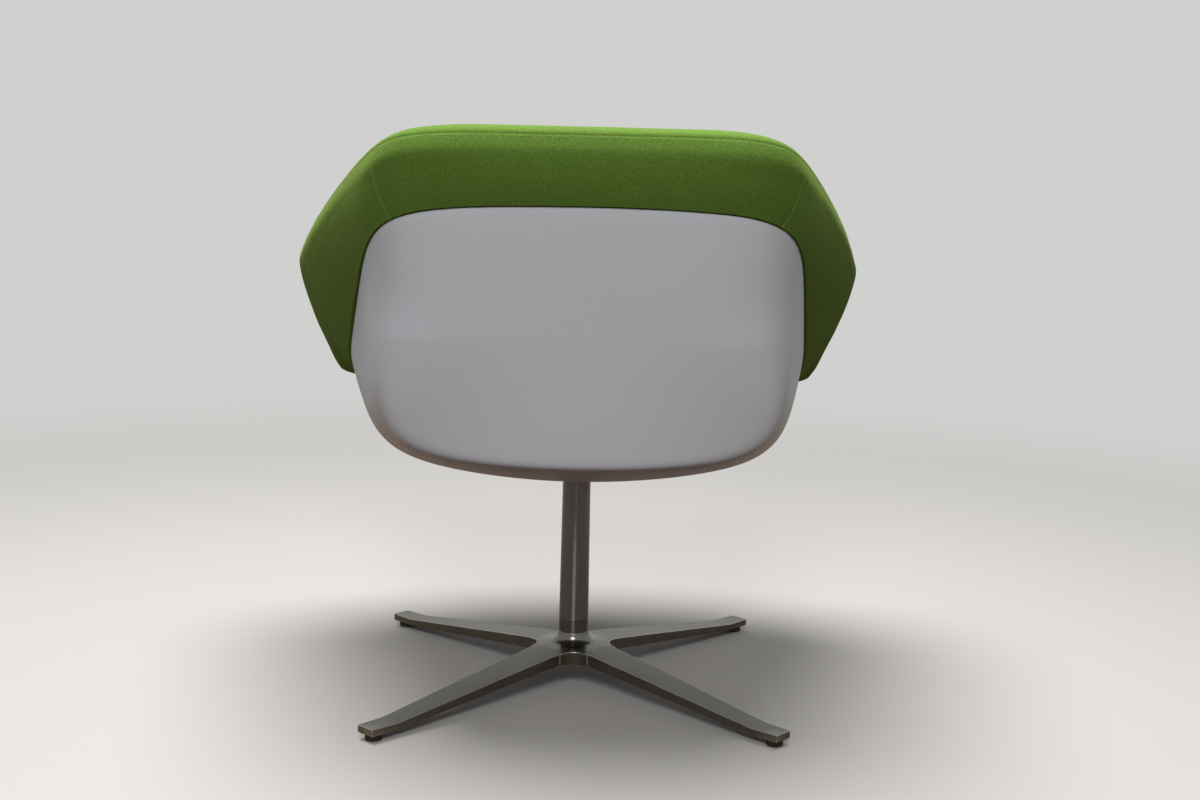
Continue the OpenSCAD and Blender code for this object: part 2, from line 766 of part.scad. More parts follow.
module seat_foam() {
    // The cover is open below, so the foam reaches down there, over the tee nuts to the floor
    d = cover_t + 2.5 * soft_gap;
    angles = [88, 82, 72, 60, 46, 32, 16, 0, -14, -30, -50, -72];
    sole_z = floor_top + tee_flange_t + 2 * soft_gap;
    sole = [for (p = seat_ring(-84, d)) [p.x, p.y, sole_z]];
    color("khaki") ring_solid(concat([for (u = angles) seat_ring(u, d)], [sole]),
        [0, 0, seat_z + seat_t / 2 - d], [0, 0, seat_z - seat_t / 2 + soft_gap]);
}

module seat_cover() {
    angles = [88, 82, 72, 60, 46, 32, 16, 0, -14, -30, -50];
    inner = [for (i = [len(angles) - 1 : -1 : 0]) seat_ring(angles[i], cover_t)];
    color([0.28, 0.4, 0.15]) ring_solid(concat([for (u = angles) seat_ring(u, 0)], inner),
        [0, 0, seat_z + seat_t / 2], [0, 0, seat_z + seat_t / 2 - cover_t]);
}

star_base();
base_ring();
column_tube();
column_plug();
base_bolt();
base_washer();
glide(1);  // glide_1
glide(2);  // glide_2
glide(3);  // glide_3
glide(4);  // glide_4
lower_bush();
upper_bush();
bearing_lower_race();
bearing_cage();
bearing_balls();
bearing_upper_race();
spindle();
circlip();
seat_plate();
plate_bolts();
plate_washers();
tee_nuts();
shell_spacers();
shell_screws();
outer_shell();
inner_shell();
back_foam();
left_arm_foam();
right_arm_foam();
seat_foam();
back_cover();
left_arm_cover();
right_arm_cover();
seat_cover();
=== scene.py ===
"""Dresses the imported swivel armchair: felt collar, seat cushion, smooth shell, metal base and studio."""

import logging
import math
from collections.abc import Sequence
from dataclasses import dataclass, field, replace
from enum import Enum

import bmesh
import bpy
import numpy as np
from mathutils import Matrix, Vector, noise
from mathutils.kdtree import KDTree


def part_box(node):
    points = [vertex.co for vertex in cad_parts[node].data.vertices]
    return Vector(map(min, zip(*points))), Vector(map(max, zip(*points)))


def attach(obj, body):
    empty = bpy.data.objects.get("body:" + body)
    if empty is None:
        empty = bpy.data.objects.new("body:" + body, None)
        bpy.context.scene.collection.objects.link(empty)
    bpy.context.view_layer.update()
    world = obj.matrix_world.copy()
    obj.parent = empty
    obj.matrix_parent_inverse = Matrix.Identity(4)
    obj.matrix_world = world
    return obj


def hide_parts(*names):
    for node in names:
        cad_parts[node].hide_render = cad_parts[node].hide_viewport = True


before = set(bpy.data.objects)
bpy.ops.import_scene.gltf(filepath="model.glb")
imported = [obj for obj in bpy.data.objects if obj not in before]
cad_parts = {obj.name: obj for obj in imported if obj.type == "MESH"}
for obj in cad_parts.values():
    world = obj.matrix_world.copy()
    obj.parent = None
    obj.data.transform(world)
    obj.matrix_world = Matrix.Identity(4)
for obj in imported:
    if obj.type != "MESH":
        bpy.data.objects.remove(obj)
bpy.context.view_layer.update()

LOG = logging.getLogger("armchair")
MM = 0.001
DRAWN_OUT = 0.02
DIAGONAL = 0.7071
NOISE_ENDS = (0.3, 0.7)
HALF_TURN = 180.0

Colour = tuple[float, float, float, float]
Limit = tuple[float, float]
Setting = float | Sequence[float] | bpy.types.NodeSocket
Sockets = dict[str | int, Setting]


class Body(Enum):
    """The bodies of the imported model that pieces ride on."""

    BASE = "base"
    SEAT = "seat"


class Slot(Enum):
    """The record's material slots, named with new pieces but not read here."""

    FELT = "green_felt"
    FOAM = "padding_foam"
    SHELL = "shell_plastic"
    CASTING = "cast_aluminium"


class Density(Enum):
    """How finely a padded piece is meshed."""

    COARSE = "coarse"
    FINE = "fine"


def screen(red: float, green: float, blue: float) -> Colour:
    """Turns a colour as a screen shows it into Blender's linear colour.

    Args:
        red: Red, 0 to 255.
        green: Green, 0 to 255.
        blue: Blue, 0 to 255.

    Returns:
        The linear colour, with an alpha of 1.
    """
    linear = [((c / 255 + 0.055) / 1.055) ** 2.4 for c in (red, green, blue)]
    return (linear[0], linear[1], linear[2], 1.0)


def mix(a: np.ndarray, b: np.ndarray, share: np.ndarray) -> np.ndarray:
    """Returns the value that lies a share of the way from a to b."""
    return a + (b - a) * share


def join2(a: np.ndarray, b: np.ndarray, power: np.ndarray) -> np.ndarray:
    """Joins two surfaces, each given as one over its distance; a higher power leaves a sharper edge."""
    most = np.maximum(a, b)
    return most * ((a / most) ** power + (b / most) ** power) ** (1 / power)


def limited(limit: Limit, height: np.ndarray) -> np.ndarray:
    """Returns the limit's length, or its share of the height where that is less."""
    return np.minimum(limit[0], limit[1] * height)


def travelled(points: np.ndarray, axis: int) -> np.ndarray:
    """Returns how far each point lies from the first one, measured along its row or column."""
    steps = np.diff(points, axis=axis, prepend=np.take(points, [0], axis))
    return np.cumsum(np.linalg.norm(steps, axis=-1), axis=axis)


def read_at(place: float, places: np.ndarray, vectors: np.ndarray) -> np.ndarray:
    """Returns the vector at a place between those at which the vectors are known."""
    return np.array([np.interp(place, places, column) for column in vectors.T])


def flat(points: np.ndarray) -> tuple[np.ndarray, np.ndarray]:
    """Returns how far points lie from the column's axis, and their heights."""
    return np.hypot(points[..., 0], points[..., 1]), points[..., 2]


def bowed(a: np.ndarray, dx: np.ndarray, h: np.ndarray, k: np.ndarray) -> np.ndarray:
    """Returns one over the distance to a surface that bends away from the plane at h by k x squared."""
    return (a + np.sqrt(a * a + 4 * h * k * dx * dx)) / (2 * h)


# Meshes


def new_object(bm: bmesh.types.BMesh, name: str) -> bpy.types.Object:
    """Turns a bmesh into a smooth shaded object at the origin.

    Args:
        bm: The mesh, which is freed.
        name: The new object's name.

    Returns:
        The object, linked to the scene.
    """
    mesh = bpy.data.meshes.new(name)
    bm.to_mesh(mesh)
    bm.free()
    mesh.shade_smooth()
    made = bpy.data.objects.new(name, mesh)
    bpy.context.scene.collection.objects.link(made)
    return made


def lay_grid(bm: bmesh.types.BMesh, points: np.ndarray) -> None:
    """Adds a grid and moves its vertices to rows and columns of points.

    Args:
        bm: The mesh that the grid is added to.
        points: An array of rows by columns by three.
    """
    rows, columns = points.shape[:2]
    made = bmesh.ops.create_grid(bm, x_segments=columns - 1, y_segments=rows - 1, size=1)
    for vert in made["verts"]:
        column = round((vert.co.x + 1) / 2 * (columns - 1))
        row = round((vert.co.y + 1) / 2 * (rows - 1))
        vert.co = points[row, column]


def close_up(bm: bmesh.types.BMesh, distance: float = 1e-6) -> None:
    """Merges the seams of laid grids and turns the faces outwards."""
    bmesh.ops.remove_doubles(bm, verts=bm.verts[:], dist=distance)
    bmesh.ops.recalc_face_normals(bm, faces=bm.faces[:])


def positions(mesh: bpy.types.Mesh) -> np.ndarray:
    """Returns the mesh's vertices as an array of points."""
    numbers = np.zeros(len(mesh.vertices) * 3)
    mesh.vertices.foreach_get("co", numbers)
    return numbers.reshape(-1, 3)


def set_positions(obj: bpy.types.Object, points: np.ndarray) -> None:
    """Moves the object's vertices to an array of points."""
    obj.data.vertices.foreach_set("co", points.reshape(-1))
    obj.data.update()


def vertex_normals(obj: bpy.types.Object) -> np.ndarray:
    """Returns the object's vertex normals as an array."""
    return np.array([v.normal for v in obj.data.vertices])


def apply_modifiers(obj: bpy.types.Object) -> None:
    """Bakes the object's modifiers into its mesh."""
    depsgraph = bpy.context.evaluated_depsgraph_get()
    shaped = bpy.data.meshes.new_from_object(obj.evaluated_get(depsgraph))
    obj.modifiers.clear()
    old = obj.data
    obj.data = shaped
    bpy.data.meshes.remove(old)


def inflate(obj: bpy.types.Object, pinned: Sequence[int], pressure: float, frames: int = 20) -> np.ndarray:
    """Runs cloth with pressure on a closed mesh.

    Args:
        obj: The mesh, left as it was.
        pinned: The vertices that don't move.
        pressure: The pressure inside.
        frames: How many frames to run.

    Returns:
        How far each vertex moved, as an array.
    """
    modifier = obj.modifiers.new("cloth", "CLOTH")
    if len(pinned):
        group = obj.vertex_groups.new(name="pinned")
        group.add([int(i) for i in pinned], 1.0, "REPLACE")
        modifier.settings.vertex_group_mass = group.name
    modifier.settings.use_pressure = True
    modifier.settings.uniform_pressure_force = pressure
    modifier.settings.effector_weights.gravity = 0
    modifier.point_cache.frame_start = 1
    modifier.point_cache.frame_end = frames
    scene = bpy.context.scene
    for number in range(1, frames + 1):
        scene.frame_set(number)
    shaped = positions(obj.evaluated_get(bpy.context.evaluated_depsgraph_get()).to_mesh())
    obj.modifiers.remove(modifier)
    scene.frame_set(1)
    return shaped - positions(obj.data)


def capped(moves: np.ndarray, cap: float) -> np.ndarray:
    """Shortens moves softly, so that none is longer than the cap."""
    length = np.linalg.norm(moves, axis=-1, keepdims=True)
    return moves * cap / (cap + length)


# Forms shared by the shell, the collar and the cushion


@dataclass(frozen=True)
class Bucket:
    """Form of the hard bucket about its centre, in metres and slopes."""

    centre_z: float
    wall: float = 5 * MM
    drop: float = 202 * MM
    back: float = 283 * MM
    back_lean: float = 0.235
    side: float = 288 * MM
    side_lean: float = 0.05
    flare: float = 0.19
    front: float = 350 * MM
    front_lean: float = 0.1
    front_bow: float = 0.3
    rim_slope: float = 0.487
    dish_across: float = 0.56
    dish_back: float = 0.92
    dish_front: float = 0.3
    back_bow_top: float = 0.3
    back_bow_low: float = 0.9
    soft_rim: float = 8
    soft_crease: float = 30
    sharpening: float = 2.4
    sharp_from: float = 0.0
    soft_bowl: float = 9
    soft_front: float = 20
    floor_drop: float = 159 * MM
    liner: float = 14.6 * MM
    glue_gap: float = 2 * MM
    lip: float = 1.2

    def ray(self, turn: np.ndarray, climb: np.ndarray) -> np.ndarray:
        """Returns unit directions from the centre, with the turn and the climb in radians."""
        return np.stack([np.cos(turn) * np.cos(climb), np.sin(turn) * np.cos(climb), np.sin(climb)], -1)

    def shell_inverse(self, d: np.ndarray, s: float) -> np.ndarray:
        """Returns one over the distance to the face s inside the outer shell's outer face.

        Args:
            d: Unit directions from the bucket's centre.
            s: How far inside the face lies.

        Returns:
            One value for each direction.
        """
        x, y, z = d[..., 0], d[..., 1], d[..., 2]
        low = np.clip(-2 * z, 0, 1)
        side = np.maximum(1e-6, np.abs(x) + self.flare * y - self.side_lean * z) / (self.side - s)
        front = bowed(-y - self.front_lean * z, x, self.front - s, self.front_bow)
        bend = mix(self.back_bow_top, self.back_bow_low, low)
        back = bowed(y - self.back_lean * z, x, self.back - s, bend)
        deep = self.drop - s
        k = self.dish_across * x * x + np.where(y > 0, self.dish_back, self.dish_front) * y * y
        dish = (-z + np.sqrt(z * z + 4 * deep * k)) / (2 * deep)
        bowl = join2(join2(side, front, self.soft_front), dish, self.soft_bowl)
        below = np.clip(self.sharpening * (self.sharp_from - z), 0, 1)
        share = below * below * (3 - 2 * below)
        return join2(bowl, back, 1 / mix(1 / self.soft_rim, 1 / self.soft_crease, share))

    def shell(self, turn: np.ndarray, climb: np.ndarray, s: float) -> np.ndarray:
        """Returns points of the face s inside the shell, for directions in radians."""
        d = self.ray(turn, climb)
        return d / self.shell_inverse(d, s)[..., None] + [0, 0, self.centre_z]

    def lining(self, turn: np.ndarray, climb: np.ndarray) -> np.ndarray:
        """Returns points of the face that the padding is glued to."""
        d = self.ray(turn, climb)
        floor = np.maximum(1e-6, -d[..., 2]) / (self.floor_drop - self.glue_gap)
        inverse = join2(self.shell_inverse(d, self.liner + self.glue_gap), floor, self.soft_front)
        return d / inverse[..., None] + [0, 0, self.centre_z]

    def rim_climb(self, turn: np.ndarray) -> np.ndarray:
        """Returns how far the rim lies above the centre's level, as an angle."""
        return np.arctan(self.rim_slope * np.sin(turn))

    def lip_climb(self, turn: np.ndarray) -> np.ndarray:
        """Returns the same angle for the inner shell's edge, which lies a little lower."""
        return self.rim_climb(turn) - math.radians(self.lip)

    def rim(self, turn: np.ndarray) -> tuple[np.ndarray, np.ndarray]:
        """Returns the rim's radius from the column and its height."""
        return flat(self.shell(turn, self.rim_climb(turn), 0.0))


@dataclass(frozen=True)
class Room:
    """The space between the arms and the back, seen from above."""

    centre_z: float
    side: float = 248 * MM
    side_lean: float = 0.14
    flare: float = 0.22
    back: float = 199 * MM
    back_lean: float = 0.37
    soft: float = 6

    def radius(self, turn: np.ndarray, z: np.ndarray, gap: float = 0.0, back_gap: float = 0.0) -> np.ndarray:
        """Returns the padding's distance from the column, less a gap at the sides and one at the back."""
        side = self.side + self.side_lean * (z - self.centre_z) - gap
        back = self.back + self.back_lean * (z - self.centre_z) - back_gap
        return 1 / join2(np.maximum(1e-6, np.abs(np.cos(turn)) + self.flare * np.sin(turn)) / side,
                         np.maximum(1e-9, np.sin(turn)) / back, self.soft)


@dataclass(frozen=True)
class CollarForm:
    """Outer face, crown and inner face of the padded collar, as a section at each angle.

    A Limit is a length, and the share of the collar's height that it may be at most. The points of
    the crown and of its brow are pairs: a share of the way inwards, and a share of the drop.
    """

    bucket: Bucket
    room: Room
    back: float = 345 * MM
    side: float = 337 * MM
    flare: float = 0.295
    top_bow: float = 0.17
    rise: float = 136 * MM
    slope: float = 0.307
    peak_y: float = 200 * MM
    front_slope: float = 2.39
    front_drop: float = 7 * MM
    front_turn: float = math.radians(36)
    soft_top: float = 12
    soft_peak: float = 60
    peak_round: float = 22 * MM
    overhang: float = 3 * MM
    end_h: float = 12 * MM
    seam_drop: Limit = (9 * MM, 0.25)
    seam_in: Limit = (4.5 * MM, 0.1)
    shoulder_drop: Limit = (18 * MM, 0.2)
    shoulder_out: Limit = (1.5 * MM, 0.05)
    inner_drop: Limit = (14 * MM, 0.35)
    seat_line: float = 109 * MM
    foot_in: float = 25 * MM
    least_pad: float = 6 * MM
    lift: float = 0.3 * MM
    lining_rise: float = 3 * MM
    bulge: float = 0.035
    tight: float = 0.42
    start_share: float = 0.02
    wall_shares: tuple[float, ...] = (0.25, 0.5, 0.75, 1.0)
    crown_points: tuple[tuple[float, float], ...] = ((0.1, 0.3), (0.3, 0.0))
    brow_points: tuple[tuple[float, float], ...] = ((0.6, 0.1), (0.86, 0.42))
    inner_shares: tuple[float, ...] = (0.0, 0.2, 0.4, 0.6, 0.8, 0.97, 1.0)

    def top_radius(self, turn: np.ndarray) -> np.ndarray:
        """Joins the back's top edge with the two arms' and rounds off their front ends.

        Args:
            turn: Angles about the column.

        Returns:
            How far the top edge lies from the column.
        """
        cosine, sine = np.abs(np.cos(turn)), np.sin(turn)
        ahead, aside = math.sin(self.front_turn), math.cos(self.front_turn)
        peak_x = self.side + self.flare * self.peak_y - self.top_bow * self.peak_y ** 2
        side = bowed(np.maximum(1e-6, cosine + self.flare * sine), sine, self.side, self.top_bow)
        back = np.maximum(1e-9, sine) / self.back
        front = np.maximum(1e-9, aside * cosine - ahead * sine) / (aside * peak_x + ahead * self.peak_y)
        return 1 / join2(join2(side, back, self.soft_top), front, self.soft_peak)

    def top_height(self, turn: np.ndarray) -> np.ndarray:
        """Joins the plane of the top with the steep one at the arms' front ends.

        Args:
            turn: Angles about the column.

        Returns:
            The height of the crown.
        """
        y = self.top_radius(turn) * np.sin(turn)
        base = self.bucket.centre_z + self.rise
        plane = base + self.slope * y
        front = base - self.slope * self.peak_y - self.front_drop + self.front_slope * (y + self.peak_y)
        return (plane + front - np.sqrt((plane - front) ** 2 + self.peak_round ** 2)) / 2

    def foot_climb(self, turn: np.ndarray) -> np.ndarray:
        """Returns the angle below the centre's level at which the padding ends."""
        rim_r, rim_z = self.bucket.rim(turn)
        foot = np.minimum(self.bucket.centre_z - self.seat_line, rim_z - self.end_h)
        return np.arctan((foot - self.bucket.centre_z) / (rim_r - self.foot_in))

    def controls(self, turn: np.ndarray) -> np.ndarray:
        """Works out the points that the face runs through, from the rim over the crown to the seat.

        Args:
            turn: Angles about the column.

        Returns:
            Radius and height of each point, at each angle.
        """
        rim_r, rim_z = self.bucket.rim(turn)
        height = np.maximum(self.end_h, self.top_height(turn) - rim_z)
        crown = rim_z + height
        seam_drop = limited(self.seam_drop, height)
        inner_drop = limited(self.inner_drop, height)
        top = self.top_radius(turn)
        low_r, low_z = rim_r + self.overhang, rim_z + self.lift
        seam_r = top - limited(self.seam_in, height)
        shoulder_z = crown - seam_drop - limited(self.shoulder_drop, height)
        inner_z = crown - inner_drop
        inner_r = self.room.radius(turn, inner_z)
        foot_r, foot_z = flat(self.bucket.lining(turn, self.foot_climb(turn)))
        edge_r, edge_z = flat(self.bucket.lining(turn, self.bucket.lip_climb(turn)))
        path = [(low_r, low_z), (mix(low_r, top, self.start_share), mix(low_z, shoulder_z, self.start_share))]
        for share in self.wall_shares:
            swell = self.bulge * height * math.sin(math.pi * share)
            swell = swell + share * limited(self.shoulder_out, height)
            path.append((mix(low_r, top, share) + swell, mix(low_z, shoulder_z, share)))
        path.append((seam_r, crown - seam_drop))
        for points, drop in ((self.crown_points, seam_drop), (self.brow_points, inner_drop)):
            path += [(mix(seam_r, inner_r, inwards), crown - part * drop) for inwards, part in points]
        for share in self.inner_shares:
            z = mix(inner_z, foot_z, share)
            above = np.maximum(0, (z - foot_z) / (edge_z - foot_z))
            deepest = mix(foot_r, edge_r, above) - self.least_pad
            path.append((np.minimum(self.room.radius(turn, z), deepest), z))
        return np.array(path)

    @property
    def seam_index(self) -> int:
        """Which of the control points is the top seam, after the rim's two and the wall's."""
        return 2 + len(self.wall_shares)

    @property
    def brow_index(self) -> int:
        """Which of the control points is the crown's inner edge."""
        return self.seam_index + 1 + len(self.crown_points) + len(self.brow_points)

    @property
    def last_index(self) -> int:
        """Which of the control points is the foot."""
        return self.brow_index + len(self.inner_shares) - 1

    def face(self, turn: np.ndarray, run: np.ndarray) -> np.ndarray:
        """Draws a smooth line through the control points at each angle.

        Args:
            turn: Angles about the column.
            run: How far along the control points, with fractions between them.

        Returns:
            Points of the face.
        """
        path = self.controls(turn)
        last = len(path) - 1
        step = np.clip(np.floor(run).astype(int), 0, last - 1)
        u = (run - step)[None]
        before, start, end, after = (np.take_along_axis(path, np.clip(step + k, 0, last)[None, None], 0)[0]
                                     for k in (-1, 0, 1, 2))
        slope_a, slope_b = self.tight * (end - before), self.tight * (after - start)
        r, z = ((2 * u ** 3 - 3 * u ** 2 + 1) * start + (u ** 3 - 2 * u ** 2 + u) * slope_a
                + (3 * u ** 2 - 2 * u ** 3) * end + (u ** 3 - u ** 2) * slope_b)
        return np.stack([r * np.cos(turn), r * np.sin(turn), z], -1)

    def lining(self, turn: np.ndarray, share: np.ndarray) -> np.ndarray:
        """Follows the hidden side of the padding down the bucket.

        Args:
            turn: Angles about the column.
            share: Share of the way from the rim to the foot.

        Returns:
            Points of the hidden side.
        """
        climb = mix(self.bucket.lip_climb(turn), self.foot_climb(turn), share)
        points = self.bucket.lining(turn, climb)
        rim_z = self.bucket.rim(turn)[1] + self.lining_rise
        points[..., 2] = np.where(share <= 0, rim_z, points[..., 2])
        return points


@dataclass(frozen=True)
class Ditch:
    """A groove that a seam draws into the padding, with small puckers beside it."""

    depth: float = 0.7 * MM
    width: float = 1.2 * MM
    pucker: float = 0.14 * MM
    pucker_reach: float = 8 * MM
    stitch: float = 6 * MM

    def groove(self, away: np.ndarray) -> np.ndarray:
        """Returns how deep the groove is at a distance from the seam."""
        return self.depth * np.exp(-(away / self.width) ** 2)

    def puckers(self, away: np.ndarray, along: np.ndarray) -> np.ndarray:
        """Returns how deep the puckers beside the seam are, from the distances away from it and along it."""
        ripple = 0.5 + 0.5 * np.cos(2 * math.pi * along / self.stitch)
        return self.pucker * ripple * np.exp(-(away / self.pucker_reach) ** 2)


@dataclass(frozen=True)
class PadSpan:
    """Which stretch of the collar a pad covers, in degrees about the column.

    The slants say how far each end's seam leans at the top seam, away from its angle at the rim.
    """

    name: str
    start: float
    end: float
    slant_start: float = 0.0
    slant_end: float = 0.0
    free_start: bool = False


def search_tree(points: np.ndarray) -> KDTree:
    """Returns a tree that finds the nearest of the points."""
    tree = KDTree(len(points))
    for i, point in enumerate(points):
        tree.insert(Vector(point), i)
    tree.balance()
    return tree


def nearest(tree: KDTree, points: np.ndarray) -> np.ndarray:
    """Returns the number of the tree's point that lies nearest to each of the points."""
    return np.array([tree.find(Vector(p))[1] for p in points.reshape(-1, 3)])


def resampled(values: np.ndarray, rows: np.ndarray, columns: np.ndarray,
              new_rows: np.ndarray, new_columns: np.ndarray) -> np.ndarray:
    """Reads a grid of vectors at other rows and columns.

    Args:
        values: Rows by columns by three.
        rows: The place of each row.
        columns: The place of each column.
        new_rows: The places wanted instead of the rows.
        new_columns: The places wanted instead of the columns.

    Returns:
        The values at the places wanted.
    """
    row_at = np.interp(new_rows, rows, np.arange(len(rows)))
    column_at = np.interp(new_columns, columns, np.arange(len(columns)))
    i = np.clip(np.floor(row_at).astype(int), 0, len(rows) - 2)
    j = np.clip(np.floor(column_at).astype(int), 0, len(columns) - 2)
    u = (row_at - i)[:, None, None]
    v = (column_at - j)[None, :, None]
    near = mix(values[i], values[i + 1], u)
    return mix(near[:, j], near[:, j + 1], v)


def waves(points: np.ndarray, size: float, seed: float) -> np.ndarray:
    """Returns smooth noise between about -1 and 1 at each point, with waves of about the given size."""
    shift = Vector((seed, 2 * seed, 3 * seed))
    found = [noise.noise(Vector(point) / size + shift) for point in points.reshape(-1, 3)]
    return np.array(found).reshape(points.shape[:-1])


@dataclass
class CollarPad:
    """One upholstered panel of the collar: its felt cover and its foam."""

    form: CollarForm
    span: PadSpan
    ditch: Ditch = field(default_factory=Ditch)
    wall_steps: int = 5
    slack: float = 0.9 * MM
    puff: float = 3.0 * MM
    pressure: float = 6.0
    end_round: float = 1.0 * MM
    end_reach: float = 2.0 * MM
    wave: float = 0.45 * MM
    wave_size: float = 0.06
    coarse: tuple[int, int] = (56, 40)
    fine: tuple[int, int] = (170, 128)
    slant_reach: float = 24.0
    near_seam: tuple[float, ...] = (1.1, 2.2, 3.6, 5.5)
    least_step: float = 0.3 * MM
    samples: int = 600
    core_gap: float = 5 * MM
    core_foot: float = 0.04
    core_ends: int = 4
    core_tip: int = 12
    core_stride: int = 3
    tip_round: float = 22 * MM
    tip_left: float = 0.15

    def angles(self, along: np.ndarray, lean: np.ndarray) -> np.ndarray:
        """Works out the angle about the column of points of the pad.

        Args:
            along: Share of the way from the pad's start to its end.
            lean: How much of the seam's slant applies, from 0 at the rim to 1 at the top seam.

        Returns:
            Angles in radians.
        """
        span = self.span
        base = mix(span.start, span.end, along)
        pull = (span.slant_start * np.exp(-((base - span.start) / self.slant_reach) ** 2)
                + span.slant_end * np.exp(-((base - span.end) / self.slant_reach) ** 2))
        return np.radians(base + pull * lean)

    def lines(self, density: Density) -> tuple[np.ndarray, np.ndarray]:
        """Works out where the mesh has lines, which lie closer together beside the seams.

        Args:
            density: How finely the pad is meshed.

        Returns:
            The shares along the pad and the runs over its face.
        """
        count_along, count_over = self.coarse if density is Density.COARSE else self.fine
        middle = math.radians((self.span.start + self.span.end) / 2)
        runs = np.linspace(0, self.form.last_index, self.samples)
        reach = travelled(self.form.face(np.full(self.samples, middle), runs), 0)
        marks = np.linspace(0, reach[-1], count_over)
        share = np.linspace(0, 1, count_along)
        at_seam = np.interp(self.form.seam_index, runs, reach)
        if density is Density.FINE:
            steps = np.array(self.near_seam) * MM
            marks = np.concatenate([marks, at_seam + steps, at_seam - steps, steps])
            length = math.radians(abs(self.span.end - self.span.start)) * self.form.back
            share = np.unique(np.concatenate([share, steps / length, 1 - steps / length]))
        marks = np.unique(np.append(marks, at_seam))
        marks = marks[np.append(True, np.diff(marks) > self.least_step)]
        return share, np.interp(marks, reach, runs)

    def face_grid(self, share: np.ndarray, runs: np.ndarray) -> np.ndarray:
        """Lays out the face.

        Args:
            share: Shares along the pad, one for each row.
            runs: Runs over the face, one for each column.

        Returns:
            The face's points, in rows and columns.
        """
        along, run = np.meshgrid(share, runs, indexing="ij")
        seam, last = self.form.seam_index, self.form.last_index
        lean = np.clip(np.minimum(run / seam, (last - run) / (last - seam)), 0, 1)
        return self.form.face(self.angles(along, lean), run)

    def lining_grid(self, share: np.ndarray, count: int) -> np.ndarray:
        """Returns the hidden side's points, from the rim to the foot."""
        along, depth = np.meshgrid(share, np.linspace(0, 1, count), indexing="ij")
        return self.form.lining(self.angles(along, np.zeros_like(along)), depth)

    def normals(self, grid: np.ndarray) -> np.ndarray:
        """Works out which way the face looks.

        Args:
            grid: The face's points.

        Returns:
            The outward normals of the points.
        """
        found = np.cross(np.gradient(grid, axis=0), np.gradient(grid, axis=1))
        found /= np.maximum(1e-12, np.linalg.norm(found, axis=-1, keepdims=True))
        outer = 2
        side = (found[:, outer, :2] * grid[:, outer, :2]).sum()
        return found if side > 0 else -found

    def seam_column(self, runs: np.ndarray) -> int:
        """Returns which of the runs is the top seam's."""
        return int(np.argmin(np.abs(runs - self.form.seam_index)))

    def solid(self, face: np.ndarray, lining: np.ndarray, name: str) -> bpy.types.Object:
        """Closes the face and the hidden side into one solid.

        Args:
            face: The face's points.
            lining: The hidden side's points, as many in each row.
            name: The object's name.

        Returns:
            The closed object.
        """
        shares = np.linspace(0, 1, self.wall_steps)
        under = mix(face[:, :1], lining[:, :1], shares[None, :, None])
        foot = mix(lining[:, -1:], face[:, -1:], shares[None, :, None])
        bm = bmesh.new()
        lay_grid(bm, np.concatenate([face[:, ::-1], under[:, 1:-1], lining, foot[:, 1:]], 1))
        for row in (0, -1):
            lay_grid(bm, mix(face[row][None], lining[row][None], shares[:, None, None]))
        close_up(bm)
        return new_object(bm, name)

    def closed_tip(self, face: np.ndarray, lining: np.ndarray) -> np.ndarray:
        """Rounds the free front end of an arm down onto its hidden side.

        Args:
            face: The face's points.
            lining: The hidden side's points.

        Returns:
            The face's points, drawn down towards the tip.
        """
        if not self.span.free_start:
            return face
        short = 1 - np.minimum(1, travelled(face, 0) / self.tip_round)
        left = mix(self.tip_left, 1.0, np.sqrt(1 - short ** 2))
        return mix(lining, face, left[..., None])

    def puffed(self) -> tuple[np.ndarray, np.ndarray, np.ndarray]:
        """Puffs a coarse copy of the pad with cloth.

        Returns:
            The shares, the runs and how far each point of the face moves.
        """
        share, runs = self.lines(Density.COARSE)
        face = self.face_grid(share, runs)
        pad = self.solid(face, self.lining_grid(share, len(runs)), self.span.name + "_slack")
        points = positions(pad.data)
        tree = search_tree(points)
        crown = (np.arange(len(runs)) >= self.seam_column(runs)) & (runs < self.form.brow_index)
        free = set(nearest(tree, face[1:-1, 1:-1])) - set(nearest(tree, face[:, crown]))
        moves = inflate(pad, sorted(set(range(len(points))) - free), self.pressure)
        drift = capped(moves[nearest(tree, face)], self.puff).reshape(face.shape)
        bpy.data.objects.remove(pad)
        return share, runs, drift

    def sewn(self, face: np.ndarray, runs: np.ndarray) -> np.ndarray:
        """Works out how deep the seams, the puckers and the felt's slight waves draw the face in.

        Args:
            face: The face's points.
            runs: The run of each column.

        Returns:
            A depth for each point.
        """
        over, along = travelled(face, 1), travelled(face, 0)
        from_seam = np.abs(over - over[:, [self.seam_column(runs)]])
        depth = self.ditch.groove(from_seam) + self.ditch.puckers(from_seam, along)
        for is_end, away in ((False, along), (True, along[-1:] - along)):
            depth += self.end_round * np.exp(-(away / self.end_reach) ** 2)
            if is_end or not self.span.free_start:
                depth += self.ditch.puckers(away, over)
        return depth + self.wave * waves(face, self.wave_size, 0.0)

